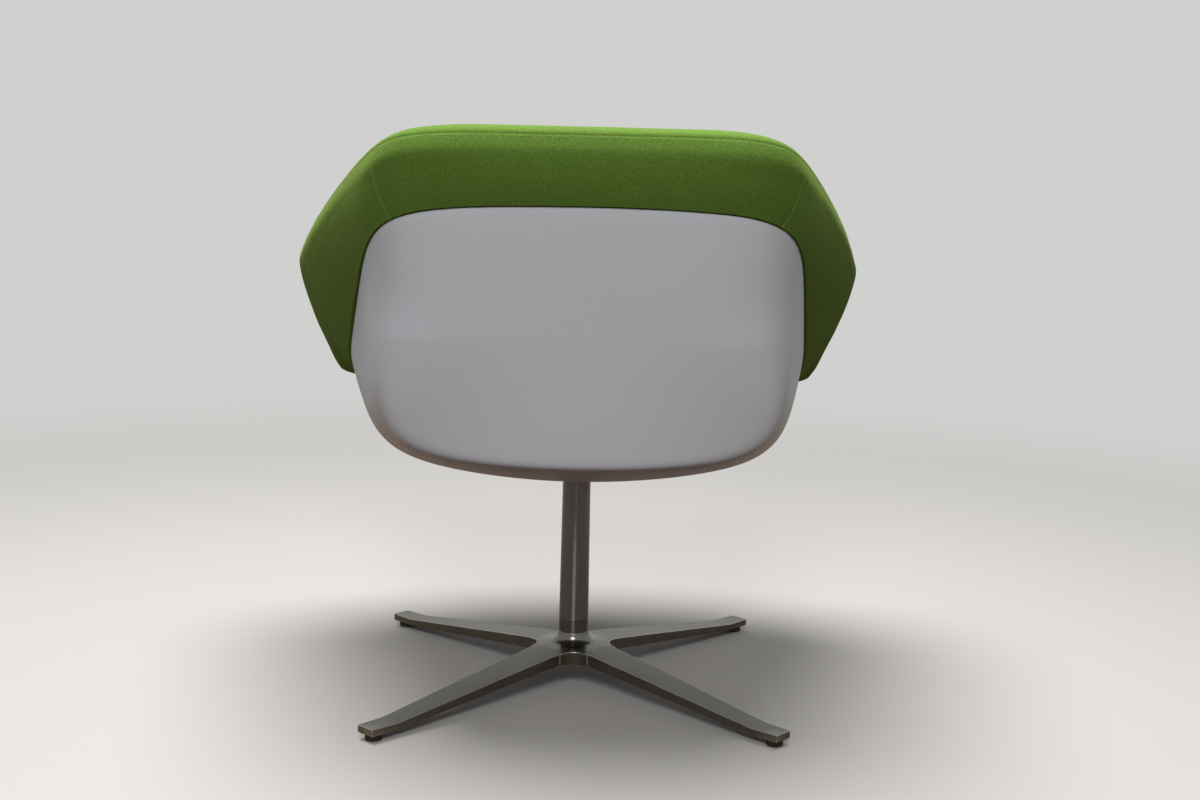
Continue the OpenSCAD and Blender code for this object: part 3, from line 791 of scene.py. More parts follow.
    def build(self) -> tuple[bpy.types.Object, bpy.types.Object]:
        """Makes the felt cover and the foam under it.

        Returns:
            The cover and the foam.
        """
        coarse_share, coarse_runs, drift = self.puffed()
        share, runs = self.lines(Density.FINE)
        face = self.face_grid(share, runs)
        slack = self.slack * np.linalg.norm(drift, axis=-1, keepdims=True) / self.puff
        face = face + resampled(drift - slack * self.normals(self.face_grid(coarse_share, coarse_runs)),
                                coarse_share, coarse_runs, share, runs)
        normals = self.normals(face)
        lining = self.lining_grid(share, len(runs))
        sewn = self.closed_tip(face - normals * self.sewn(face, runs)[..., None], lining)
        cover = self.solid(sewn, lining, self.span.name + "_cover_felt")
        first = self.core_tip if self.span.free_start else self.core_ends
        some = np.s_[first:-self.core_ends:self.core_stride, ::self.core_stride]
        core = face[some] - normals[some] * self.core_gap
        foam = self.solid(core, mix(lining[some], core, self.core_foot), self.span.name + "_foam_core")
        return cover, foam


@dataclass
class SeamStitches:
    """The run of small stitches beside a corner seam."""

    pad: CollarPad
    at_end: bool
    length: float = 2.6 * MM
    width: float = 0.55 * MM
    pitch: float = 3.6 * MM
    beside: float = 1.6 * MM
    sink: float = 0.12 * MM
    first_run: float = 0.25
    last_run: float = 10.0

    def build(self) -> bpy.types.Object:
        """Lays the stitches along the seam, one small capsule for each.

        Returns:
            The run of stitches.
        """
        pad = self.pad
        share, runs = pad.lines(Density.FINE)
        face = pad.face_grid(share, runs)
        normals = pad.normals(face)
        face = face - normals * pad.sewn(face, runs)[..., None]
        away = travelled(face, 0)
        if self.at_end:
            away, face, normals = (away[-1:] - away)[::-1], face[::-1], normals[::-1]
        columns = np.flatnonzero((runs >= self.first_run) & (runs <= self.last_run))
        line, up = (np.array([read_at(self.beside, away[:, j], grid[:, j]) for j in columns])
                    for grid in (face, normals))
        reach = travelled(line, 0)
        bm = bmesh.new()
        for start in np.arange(0, reach[-1] - self.length, self.pitch):
            ends = [Vector(read_at(start + ahead, reach, line)) for ahead in (0, self.length)]
            self.stitch(bm, *ends, Vector(read_at(start, reach, up)).normalized())
        return new_object(bm, pad.span.name + ("_end" if self.at_end else "_start") + "_stitches")

    def stitch(self, bm: bmesh.types.BMesh, start: Vector, end: Vector, rise: Vector) -> None:
        """Adds one stitch, a small sphere drawn out between two points, half sunk in the felt.

        Args:
            bm: The mesh that the stitch is added to.
            start: Where it comes out.
            end: Where it goes in.
            rise: The felt's normal.
        """
        made = bmesh.ops.create_icosphere(bm, subdivisions=1, radius=1)
        ahead = (end - start).normalized()
        side = ahead.cross(rise).normalized()
        rise = side.cross(ahead)
        turn = Matrix((side * self.width / 2, ahead * self.length / 2, rise * self.width / 2)).transposed()
        middle = (start + end) / 2 - rise * self.sink
        for vert in made["verts"]:
            vert.co = turn @ vert.co + middle


@dataclass
class SeatCushion:
    """The loose-looking seat cushion, fixed in the bucket between the arms."""

    bucket: Bucket
    room: Room
    floor_top: float
    thickness: float = 84 * MM
    front: float = 345 * MM
    front_bow: float = 0.6
    side_gap: float = 0.5 * MM
    back_gap: float = 0.5 * MM
    tuck: float = 3 * MM
    tuck_reach: float = 0.25
    tuck_from: float = -0.75
    tuck_over: float = 0.1
    round_side: float = 0.27
    round_back: float = 0.12
    round_below: float = 0.5
    square_from: float = 0.4
    wall_power: float = 0.6
    edge_from: float = 0.6
    edge_over: float = 0.25
    soft: float = 12
    seat_line: float = CollarForm.seat_line
    rim_gap: float = 3 * MM
    floor_gap: float = 0.4 * MM
    most_lift: float = 28 * MM
    lift_from: float = 0.3
    slack: float = 0.8 * MM
    core_inset: float = 15 * MM
    voxel: float = 5 * MM
    glued: float = 8 * MM
    pressure: float = 4.0
    cap: float = 13 * MM
    clear: float = 0.3 * MM
    least_gap: float = 0.1 * MM
    wave: float = 0.5 * MM
    wave_size: float = 0.09
    wave_seed: float = 4.0
    belt_rise: float = 2 * MM
    belt_lift: float = 0.6
    belt_from: float = 0.75
    belt_width: float = 1.6
    ditch: Ditch = field(default_factory=Ditch)

    @property
    def middle_z(self) -> float:
        """Height of the cushion's belt line."""
        return self.floor_top + self.floor_gap + self.thickness / 2

    def outline(self, turn: np.ndarray, inset: float = 0.0, z: float | np.ndarray = 0.0) -> np.ndarray:
        """Follows the room between the arms, and the bowed front edge.

        Args:
            turn: Angles about the column.
            inset: How far inside its place the side lies.
            z: The height, of which the room's width depends above the seat line.

        Returns:
            How far the side lies from the column.
        """
        front = bowed(-np.sin(turn), np.cos(turn), self.front - inset, self.front_bow)
        level = np.maximum(self.bucket.centre_z - self.seat_line, z + np.zeros_like(turn))
        room = self.room.radius(turn, level, self.side_gap + inset, self.back_gap + inset)
        return 1 / join2(1 / room, np.maximum(front, 1e-6), self.soft)

    def nearness(self, share: np.ndarray) -> np.ndarray:
        """Returns how near a share of the way out is to the side: 0 in the middle and 1 at the edge."""
        return np.clip((share - self.edge_from) / self.edge_over, 0, 1)

    def edge_lift(self, turn: np.ndarray) -> np.ndarray:
        """Works out how far the lower edge is lifted to clear the shell's rim, towards the front.

        Args:
            turn: Angles about the column.

        Returns:
            The lift at each angle.
        """
        rim_z = self.bucket.rim(turn)[1]
        frontness = np.clip((-np.sin(turn) - self.lift_from) / self.lift_from, 0, 1)
        return np.clip(rim_z + self.rim_gap - self.floor_top, 0, self.most_lift) * frontness

    def ring(self, turn: np.ndarray, climb: np.ndarray, inset: float) -> np.ndarray:
        """Bends a sphere into the cushion: squarer above than below, and squarest at the back.

        Args:
            turn: Angles about the column.
            climb: Angles up from the belt.
            inset: How far inside its place the surface lies.

        Returns:
            Points of the cushion.
        """
        behind = np.clip((np.sin(turn) - self.square_from) / self.square_from, 0, 1)
        upper = mix(self.round_side, self.round_back, behind)
        share = np.maximum(1e-6, np.cos(climb)) ** np.where(climb > 0, upper, self.round_below)
        rise = np.sign(climb) * np.abs(np.sin(climb)) ** self.wall_power * (self.thickness / 2 - inset)
        lift = self.edge_lift(turn) * np.minimum(1, 1 - np.sin(climb)) * self.nearness(share)
        z = self.middle_z + rise + lift
        aside = np.clip((np.sin(turn) - self.tuck_from) / self.tuck_over, 0, 1)
        tuck = aside * self.tuck * np.exp(-(climb / self.tuck_reach) ** 2)
        radius = self.outline(turn, inset, z) * share + tuck
        return np.stack([radius * np.cos(turn), radius * np.sin(turn), z], -1)

    def blank(self, name: str, inset: float, segments: int = 96) -> bpy.types.Object:
        """Makes the cushion's plain form from a sphere.

        Args:
            name: The object's name.
            inset: How far inside its place the surface lies.
            segments: How many faces go round it.

        Returns:
            The closed object.
        """
        bm = bmesh.new()
        bmesh.ops.create_uvsphere(bm, u_segments=segments, v_segments=segments // 2, radius=1)
        unit = np.array([v.co for v in bm.verts])
        climb = np.arcsin(np.clip(unit[:, 2], -1, 1))
        points = self.ring(np.arctan2(unit[:, 1], unit[:, 0]), climb, inset)
        for vert, point in zip(bm.verts, points):
            vert.co = point
        close_up(bm)
        return new_object(bm, name)

    def outward(self, points: np.ndarray, moves: np.ndarray) -> np.ndarray:
        """Keeps the sides from being drawn in while the top swells.

        Args:
            points: Where the cover's points were.
            moves: How far the cloth moved them.

        Returns:
            The moves, without the inward part near the sides.
        """
        radius = flat(points)[0]
        out = points[:, :2] / np.maximum(radius, 1e-6)[:, None]
        side = radius / self.outline(np.arctan2(points[:, 1], points[:, 0]))
        inward = np.minimum(0, (moves[:, :2] * out).sum(1)) * self.nearness(side)
        kept = moves.copy()
        kept[:, :2] -= inward[:, None] * out
        return kept

    def fitted(self, points: np.ndarray) -> np.ndarray:
        """Keeps points clear of the arms, the back, the pan's floor and the shell's rim.

        Args:
            points: Points of the cover.

        Returns:
            The points, moved where they came too near.
        """
        turn = np.arctan2(points[:, 1], points[:, 0])
        radius = flat(points)[0]
        under = points[:, 2] < self.bucket.centre_z - self.seat_line - 1 * MM
        room = self.room.radius(turn, points[:, 2]) + np.where(under, self.tuck, -self.clear)
        room = np.where(np.sin(turn) < self.tuck_from, np.inf, room)
        shrink = np.minimum(1, room / np.maximum(radius, 1e-6))
        kept = points * np.stack([shrink, shrink, np.ones_like(shrink)], -1)
        kept[:, 1] = np.maximum(kept[:, 1], 2 * self.least_gap - self.front)
        lowest = self.floor_top + self.floor_gap + self.least_gap
        lowest = lowest + self.edge_lift(turn) * self.nearness(radius / self.outline(turn))
        kept[:, 2] = np.maximum(kept[:, 2], lowest)
        return kept

    def build(self) -> tuple[bpy.types.Object, bpy.types.Object]:
        """Makes the puffed cover with its belt seam, and the foam inside.

        Returns:
            The cover and the foam.
        """
        cover = self.blank("seat_cushion_felt", self.slack)
        remesh = cover.modifiers.new("remesh", "REMESH")
        remesh.mode = "VOXEL"
        remesh.voxel_size = self.voxel
        apply_modifiers(cover)
        points = positions(cover.data)
        low = np.flatnonzero(points[:, 2] < self.floor_top + self.glued)
        moves = capped(inflate(cover, low, self.pressure), self.cap)
        set_positions(cover, self.fitted(points + self.outward(points, moves)))
        smooth = cover.modifiers.new("smooth", "SUBSURF")
        smooth.levels = smooth.render_levels = 1
        apply_modifiers(cover)
        self.sew(cover)
        cover.data.shade_smooth()
        foam = self.blank("seat_foam_core", self.core_inset, segments=48)
        return cover, foam

    def sew(self, cover: bpy.types.Object) -> None:
        """Draws the belt seam into the cover's side, and gives the felt its slight waves.

        Args:
            cover: The cover, which is changed.
        """
        points = positions(cover.data)
        turn = np.arctan2(points[:, 1], points[:, 0])
        belt_z = self.middle_z + self.edge_lift(turn) * self.belt_lift + self.belt_rise
        side = flat(points)[0] > self.belt_from * self.outline(turn)
        away = np.where(side, np.abs(points[:, 2] - belt_z), 1.0)
        depth = self.ditch.groove(away / self.belt_width) + self.ditch.puckers(away, turn * self.front)
        depth += self.wave * waves(points, self.wave_size, self.wave_seed)
        set_positions(cover, points - vertex_normals(cover) * depth[:, None])


# Hard pieces


@dataclass
class OuterShell:
    """The hard outer shell, with its rounded rim, its hub hole and the screws' recesses."""

    bucket: Bucket
    corner: float = 1.3 * MM
    hole_climb: float = math.radians(-84.23)
    screw_x: float = 65 * MM
    screw_y: float = 88 * MM
    screw_seat: float = 2 * MM
    recess_r: float = 5.25 * MM
    recess_depth: float = 3.6 * MM
    hole_r: float = 2.75 * MM
    bore_steps: int = 40
    turns: int = 200
    steps: int = 116
    crowding: float = 0.1
    rim_steps: int = 5
    smooth_angle: float = math.radians(40)

    def section(self, turn: np.ndarray) -> np.ndarray:
        """Draws the wall's closed section: up the outer face, over the round rim and down the inner face.

        Args:
            turn: Angles about the column.

        Returns:
            The section at each angle, as rows of points.
        """
        top = self.bucket.rim_climb(turn)[:, None]
        reach = 1 / self.bucket.shell_inverse(self.bucket.ray(turn, top[:, 0]), 0.0)
        round_off = np.linspace(0, math.pi / 2, self.rim_steps)
        inset = self.corner * (1 - np.cos(round_off))
        lowered = self.corner * (1 - np.sin(round_off)) / reach[:, None]
        u = np.linspace(0, 1, self.steps)[None]
        wall = mix(top - lowered[:, :1], self.hole_climb, u + self.crowding * np.sin(2 * math.pi * u))
        thick = self.bucket.wall
        parts = [(wall[:, ::-1], np.zeros(self.steps)), (top - lowered[:, 1:], inset[1:]),
                 (top - lowered[:, :0:-1], thick - inset[:0:-1]), (wall, np.full(self.steps, thick)),
                 (wall[:, -1:], np.zeros(1))]
        columns = [self.bucket.shell(turn, climb[:, j], depth[j])
                   for climb, depth in parts for j in range(climb.shape[1])]
        return np.stack(columns, 1)

    def cutter(self) -> bpy.types.Object:
        """Makes the four stepped bores for the screws.

        Returns:
            The bores, which are taken out of the shell.
        """
        bm = bmesh.new()
        for x in (-self.screw_x, self.screw_x):
            for y in (-self.screw_y, self.screw_y):
                bend = self.bucket.dish_back if y > 0 else self.bucket.dish_front
                seat = (self.bucket.centre_z - self.bucket.drop + self.bucket.dish_across * x * x
                        + bend * y * y + self.screw_seat)
                for radius, low, high in ((self.recess_r, -self.recess_depth, 0.0),
                                          (self.hole_r, -1 * MM, 2 * self.bucket.wall)):
                    place = Matrix.Translation((x, y, seat + (low + high) / 2))
                    bmesh.ops.create_cone(bm, cap_ends=True, segments=self.bore_steps, radius1=radius,
                                          radius2=radius, depth=high - low, matrix=place)
        return new_object(bm, "shell_bores")

    def build(self) -> bpy.types.Object:
        """Makes the shell.

        Returns:
            The shell.
        """
        bm = bmesh.new()
        lay_grid(bm, self.section(np.linspace(0, 2 * math.pi, self.turns + 1)))
        close_up(bm)
        shell = new_object(bm, "outer_shell_moulded")
        cutter = self.cutter()
        cut = shell.modifiers.new("bores", "BOOLEAN")
        cut.operation, cut.solver, cut.object, cut.use_self = "DIFFERENCE", "EXACT", cutter, True
        apply_modifiers(shell)
        bpy.data.objects.remove(cutter)
        shell.data.shade_smooth()
        shell.data.set_sharp_from_angle(angle=self.smooth_angle)
        return shell


@dataclass
class StarBase:
    """The cast base, with its edges broken as a polished casting's are."""

    node: str = "star_base"
    edge: float = 0.8 * MM
    edge_steps: int = 3
    merge: float = 0.01 * MM
    flat_angle: float = math.radians(1.5)
    edge_angle: float = math.radians(30)
    edge_highlight_slot: int = 1
    face_weight: int = 90

    def build(self) -> bpy.types.Object:
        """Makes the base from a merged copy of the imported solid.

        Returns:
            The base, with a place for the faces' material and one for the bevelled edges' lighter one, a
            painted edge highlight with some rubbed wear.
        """
        bm = bmesh.new()
        bm.from_mesh(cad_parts[self.node].data)
        bmesh.ops.remove_doubles(bm, verts=bm.verts[:], dist=self.merge)
        bmesh.ops.dissolve_limit(bm, angle_limit=self.flat_angle, verts=bm.verts[:], edges=bm.edges[:])
        base = new_object(bm, "star_base_cast")
        for _ in range(self.edge_highlight_slot + 1):
            base.data.materials.append(None)
        bevel = base.modifiers.new("edges", "BEVEL")
        bevel.width, bevel.segments, bevel.limit_method = self.edge, self.edge_steps, "ANGLE"
        bevel.angle_limit, bevel.miter_outer, bevel.material = self.edge_angle, "MITER_ARC", self.edge_highlight_slot
        even = base.modifiers.new("even", "WEIGHTED_NORMAL")
        even.weight, even.keep_sharp = self.face_weight, True
        apply_modifiers(base)
        return base


# Shader node groups and finishes


class Graph:
    """Adds and links shader nodes in the tree of a material, the world or a node group."""

    def __init__(self, tree: bpy.types.NodeTree) -> None:
        """Starts on a tree."""
        self.tree = tree

    @classmethod
    def fresh(cls, owner: bpy.types.Material | bpy.types.World) -> "Graph":
        """Empties the tree of a material or the world and starts on it."""
        owner.use_nodes = True
        owner.node_tree.nodes.clear()
        return cls(owner.node_tree)

    def node(self, kind: str, inputs: Sockets, **settings: object) -> bpy.types.Node:
        """Adds a node.

        Args:
            kind: The node's type, without the word ShaderNode.
            inputs: What goes into its sockets, by name or number: a value or another node's socket.
            settings: The node's own properties.

        Returns:
            The node.
        """
        made = self.tree.nodes.new("ShaderNode" + kind)
        for name, value in settings.items():
            setattr(made, name, value)
        for name, value in inputs.items():
            self.put(made.inputs[name], value)
        return made

    def put(self, socket: bpy.types.NodeSocket, value: Setting) -> None:
        """Links a socket to another one, or sets its value."""
        if isinstance(value, bpy.types.NodeSocket):
            self.tree.links.new(value, socket)
        else:
            socket.default_value = value

    def math(self, operation: str, a: Setting, b: Setting = 0.0) -> bpy.types.NodeSocket:
        """Returns the result of a Math node."""
        return self.node("Math", {0: a, 1: b}, operation=operation).outputs[0]

    def times(self, a: Setting, b: Setting) -> bpy.types.NodeSocket:
        """Returns the product of two values."""
        return self.math("MULTIPLY", a, b)

    def fit(self, value: Setting, low: Setting, high: Setting, to_low: Setting = 0.0,
            to_high: Setting = 1.0) -> bpy.types.NodeSocket:
        """Returns the value moved smoothly from one range to another."""
        sockets = {"Value": value, "From Min": low, "From Max": high, "To Min": to_low, "To Max": to_high}
        return self.node("MapRange", sockets, interpolation_type="SMOOTHSTEP").outputs["Result"]

    def blend(self, share: Setting, a: Setting, b: Setting, way: str = "MIX") -> bpy.types.NodeSocket:
        """Returns the mix of two colours."""
        return self.node("Mix", {0: share, 6: a, 7: b}, data_type="RGBA", blend_type=way).outputs[2]

    def noise(self, vector: Setting, scale: Setting, detail: float = 2.0) -> bpy.types.NodeSocket:
        """Returns noise from 0 to 1."""
        return self.node("TexNoise", {"Vector": vector, "Scale": scale, "Detail": detail}).outputs[0]

    def bump(self, height: Setting, distance: float, strength: float = 1.0) -> bpy.types.NodeSocket:
        """Returns a normal bent by a height."""
        return self.node("Bump", {"Height": height, "Distance": distance, "Strength": strength}).outputs[0]

    def place(self) -> bpy.types.NodeSocket:
        """Returns the object's own coordinates."""
        return self.node("TexCoord", {}).outputs["Object"]

    def axes(self, place: Setting) -> bpy.types.NodeOutputs:
        """Returns the three parts of a place."""
        return self.node("SeparateXYZ", {0: place}).outputs


class Effect(Enum):
    """The effects that more than one finish uses, each a node group that is made once."""

    TONE = "tone_variation"
    GRAIN = "fine_grain"
    BRUSHED = "brushed_lines"
    SPECKS = "small_specks"

    def tree(self) -> bpy.types.NodeTree:
        """Makes the effect's node group when it is first asked for.

        Returns:
            The node group.
        """
        found = bpy.data.node_groups.get(self.value)
        if found:
            return found
        made = bpy.data.node_groups.new(self.value, "ShaderNodeTree")
        inputs, outputs, fill = {
            Effect.TONE: (("Vector", "Scale", "Strength", "Color"), ("Color",), fill_tone),
            Effect.GRAIN: (("Vector", "Scale", "Fineness"), ("Height",), fill_grain),
            Effect.BRUSHED: (("Along", "Across", "Third", "Scale"), ("Height", "Mask"), fill_brushed),
            Effect.SPECKS: (("Vector", "Scale", "Size", "Share"), ("Mask",), fill_specks),
        }[self]
        kinds = {"Vector": "NodeSocketVector", "Color": "NodeSocketColor"}
        for way, names in (("INPUT", inputs), ("OUTPUT", outputs)):
            for name in names:
                made.interface.new_socket(name=name, in_out=way,
                                          socket_type=kinds.get(name, "NodeSocketFloat"))
        sink = made.nodes.new("NodeGroupOutput").inputs
        graph = Graph(made)
        for name, value in fill(graph, made.nodes.new("NodeGroupInput").outputs).items():
            graph.put(sink[name], value)
        return made

    def add(self, graph: Graph, **inputs: Setting) -> bpy.types.NodeOutputs:
        """Places the effect in a finish.

        Args:
            graph: The finish's nodes.
            inputs: What goes into the group, by its sockets' names.

        Returns:
            The group's outputs.
        """
        return graph.node("Group", inputs, node_tree=self.tree()).outputs


def fill_tone(graph: Graph, source: bpy.types.NodeOutputs) -> Sockets:
    """Fills the group that makes a colour slightly lighter and darker in soft patches.

    Args:
        graph: The group's nodes.
        source: The group's inputs.

    Returns:
        What goes into the group's outputs.
    """
    patches = graph.noise(source["Vector"], source["Scale"], 3.0)
    swing = graph.times(graph.math("SUBTRACT", patches, 0.5), source["Strength"])
    level = graph.math("ADD", swing, 1.0)
    grey = graph.node("CombineColor", {0: level, 1: level, 2: level}).outputs[0]
    return {"Color": graph.blend(1.0, source["Color"], grey, "MULTIPLY")}


def fill_grain(graph: Graph, source: bpy.types.NodeOutputs) -> Sockets:
    """Fills the group that gives a fine all-over grain in two sizes.

    Args:
        graph: The group's nodes.
        source: The group's inputs.

    Returns:
        What goes into the group's outputs.
    """
    coarse = graph.noise(source["Vector"], source["Scale"], 4.0)
    fine = graph.noise(source["Vector"], graph.times(source["Scale"], source["Fineness"]), 3.0)
    coarse_share, fine_share = 0.55, 0.45
    return {"Height": graph.math("ADD", graph.times(coarse, coarse_share), graph.times(fine, fine_share))}


def fill_brushed(graph: Graph, source: bpy.types.NodeOutputs) -> Sockets:
    """Fills the group that gives lines of two widths along one direction.

    Args:
        graph: The group's nodes.
        source: The group's inputs.

    Returns:
        What goes into the group's outputs.
    """
    slow = graph.times(source["Along"], DRAWN_OUT)
    lines = graph.node("CombineXYZ", {0: slow, 1: source["Across"], 2: source["Third"]}).outputs[0]
    fineness, mask_ends = 3.1, (0.38, 0.62)
    wide = graph.noise(lines, source["Scale"])
    thin = graph.noise(lines, graph.times(source["Scale"], fineness))
    both = graph.math("ADD", graph.times(wide, 0.5), graph.times(thin, 0.5))
    return {"Height": both, "Mask": graph.fit(both, *mask_ends)}


def fill_specks(graph: Graph, source: bpy.types.NodeOutputs) -> Sockets:
    """Fills the group that marks a share of scattered small dots.

    Args:
        graph: The group's nodes.
        source: The group's inputs.

    Returns:
        What goes into the group's outputs.
    """
    cells = graph.node("TexVoronoi", {"Vector": source["Vector"], "Scale": source["Scale"]})
    pick = graph.node("SeparateColor", {0: cells.outputs["Color"]}).outputs[0]
    chosen = graph.math("LESS_THAN", pick, source["Share"])
    near = graph.math("LESS_THAN", cells.outputs["Distance"], graph.times(source["Size"], pick))
    return {"Mask": graph.times(chosen, near)}


@dataclass(frozen=True)
class Finish:
    """What every finish shares: a name, a colour with soft patches of tone, and a roughness."""

    name: str
    colour: Colour
    roughness: float = 0.5
    patches: float = 10.0
    patch_swing: float = 0.1

    def material(self) -> bpy.types.Material:
        """Makes the finish's material when it is first asked for.

        Returns:
            The material.
        """
        found = bpy.data.materials.get(self.name)
        if found:
            return found
        made = bpy.data.materials.new(self.name)
        graph = Graph.fresh(made)
        place = graph.place()
        tone = Effect.TONE.add(graph, Vector=place, Scale=self.patches, Strength=self.patch_swing,
                               Color=self.colour)["Color"]
        sockets = {"Base Color": tone, "Roughness": self.roughness, **self.look(graph, place, tone)}
        shader = graph.node("BsdfPrincipled", sockets)
        graph.node("OutputMaterial", {"Surface": shader.outputs[0]})
        return made

    def look(self, graph: Graph, place: bpy.types.NodeSocket, tone: bpy.types.NodeSocket) -> Sockets:
        """Works out what is special to the finish.

        Args:
            graph: The material's nodes.
            place: The object's own coordinates.
            tone: The finish's colour, with its patches.

        Returns:
            What goes into the shader's sockets.
        """
        raise NotImplementedError

    def dress(self, *pieces: bpy.types.Object) -> None:
        """Gives the finish to pieces."""
        for piece in pieces:
            piece.data.materials.clear()
            piece.data.materials.append(self.material())


@dataclass(frozen=True)
class WoolFelt(Finish):
    """Dyed, fulled wool cloth, with a fine mottle and a short nap that is lighter at a glance."""

    patches: float = 14.0
    patch_swing: float = 0.16
    dark: Colour = (0, 0, 0, 1)
    light: Colour = (1, 1, 1, 1)
    mottle: float = 560.0
    fineness: float = 3.2
    contrast: float = 0.5
    dark_ends: tuple[float, float] = (0.52, 0.34)
    light_ends: tuple[float, float] = (0.5, 0.68)
    twill: float = 45.0
    twill_turn: tuple[float, float, float] = (0.6, 0.5, 0.7)
    twill_bend: float = 9.0
    twill_height: float = 0.12
    nap: float = 0.8 * MM
    sheen: float = 0.35
    sheen_roughness: float = 0.45
    gloss: float = 0.12

    def look(self, graph: Graph, place: bpy.types.NodeSocket, tone: bpy.types.NodeSocket) -> Sockets:
        """Adds the mottle, the weave under the nap and the nap."""
        fibres = Effect.GRAIN.add(graph, Vector=place, Scale=self.mottle, Fineness=self.fineness)["Height"]
        wool = tone
        for colour, ends in ((self.dark, self.dark_ends), (self.light, self.light_ends)):
            wool = graph.blend(graph.times(graph.fit(fibres, *ends), self.contrast), wool, colour)
        slant = graph.node("Mapping", {"Vector": place, "Rotation": self.twill_turn}).outputs[0]
        weave = graph.node("TexWave", {"Vector": slant, "Scale": self.twill, "Distortion": self.twill_bend,
                                       "Detail": 2.0, "Detail Scale": 3.0}).outputs["Fac"]
        height = graph.math("ADD", fibres, graph.times(weave, self.twill_height))
        return {"Base Color": wool, "Normal": graph.bump(height, self.nap, 0.5), "Sheen Weight": self.sheen,
                "Sheen Roughness": self.sheen_roughness, "Sheen Tint": self.light,
                "Specular IOR Level": self.gloss}


@dataclass(frozen=True)
class Thread(Finish):
    """Sewing thread with a twist."""

    patches: float = 90.0
    patch_swing: float = 0.3
    twist: float = 1800.0
    ridge: float = 0.3 * MM

    def look(self, graph: Graph, place: bpy.types.NodeSocket, tone: bpy.types.NodeSocket) -> Sockets:
        """Adds the twist's ridges."""
        ridges = Effect.GRAIN.add(graph, Vector=place, Scale=self.twist, Fineness=2.0)["Height"]
        return {"Normal": graph.bump(ridges, self.ridge)}


@dataclass(frozen=True)
class Moulding(Finish):
    """Hard moulded plastic, with a faint ripple, dust and a few small scuffs."""

    patches: float = 7.0
    patch_swing: float = 0.05
    scuff: Colour = (0.2, 0.2, 0.2, 1)
    scuffs: float = 0.06
    scuff_shape: tuple[float, float, float] = (1.0, 1.0, 0.55)
    scuff_scale: float = 26.0
    scuff_size: float = 0.9
    scuff_depth: float = 0.5
    dust_scale: float = 90.0
    dust_size: float = 1.6
    worn_scale: float = 9.0
    worn_ends: tuple[float, float] = (0.5, 0.7)
    ripple: float = 0.12 * MM
    ripple_scale: float = 60.0
    ripple_fineness: float = 9.0
    smoothest: float = -0.04
    roughest: float = 0.06
    gloss: float = 0.25

    def look(self, graph: Graph, place: bpy.types.NodeSocket, tone: bpy.types.NodeSocket) -> Sockets:
        """Adds the ripple, the dust and the scuffs."""
        drawn = graph.node("Mapping", {"Vector": place, "Scale": self.scuff_shape}).outputs[0]
        marks = Effect.SPECKS.add(graph, Vector=drawn, Scale=self.scuff_scale, Size=self.scuff_size,
                                  Share=self.scuffs)["Mask"]
        dust = Effect.SPECKS.add(graph, Vector=place, Scale=self.dust_scale, Size=self.dust_size,
                                 Share=self.scuffs)["Mask"]
        worn = graph.fit(graph.noise(place, self.worn_scale, 1.0), *self.worn_ends)
        faded = graph.times(graph.times(graph.math("MAXIMUM", marks, dust), worn), self.scuff_depth)
        fine = Effect.GRAIN.add(graph, Vector=place, Scale=self.ripple_scale,
                                Fineness=self.ripple_fineness)["Height"]
        rough = graph.fit(fine, *NOISE_ENDS, self.roughness + self.smoothest, self.roughness + self.roughest)
        return {"Base Color": graph.blend(faded, tone, self.scuff), "Roughness": rough,
                "Normal": graph.bump(fine, self.ripple), "Specular IOR Level": self.gloss}


class Grain(Enum):
    """Which way the brushing of a metal runs."""

    ARMS = "out along the base's arms"
    ROUND = "round the column"


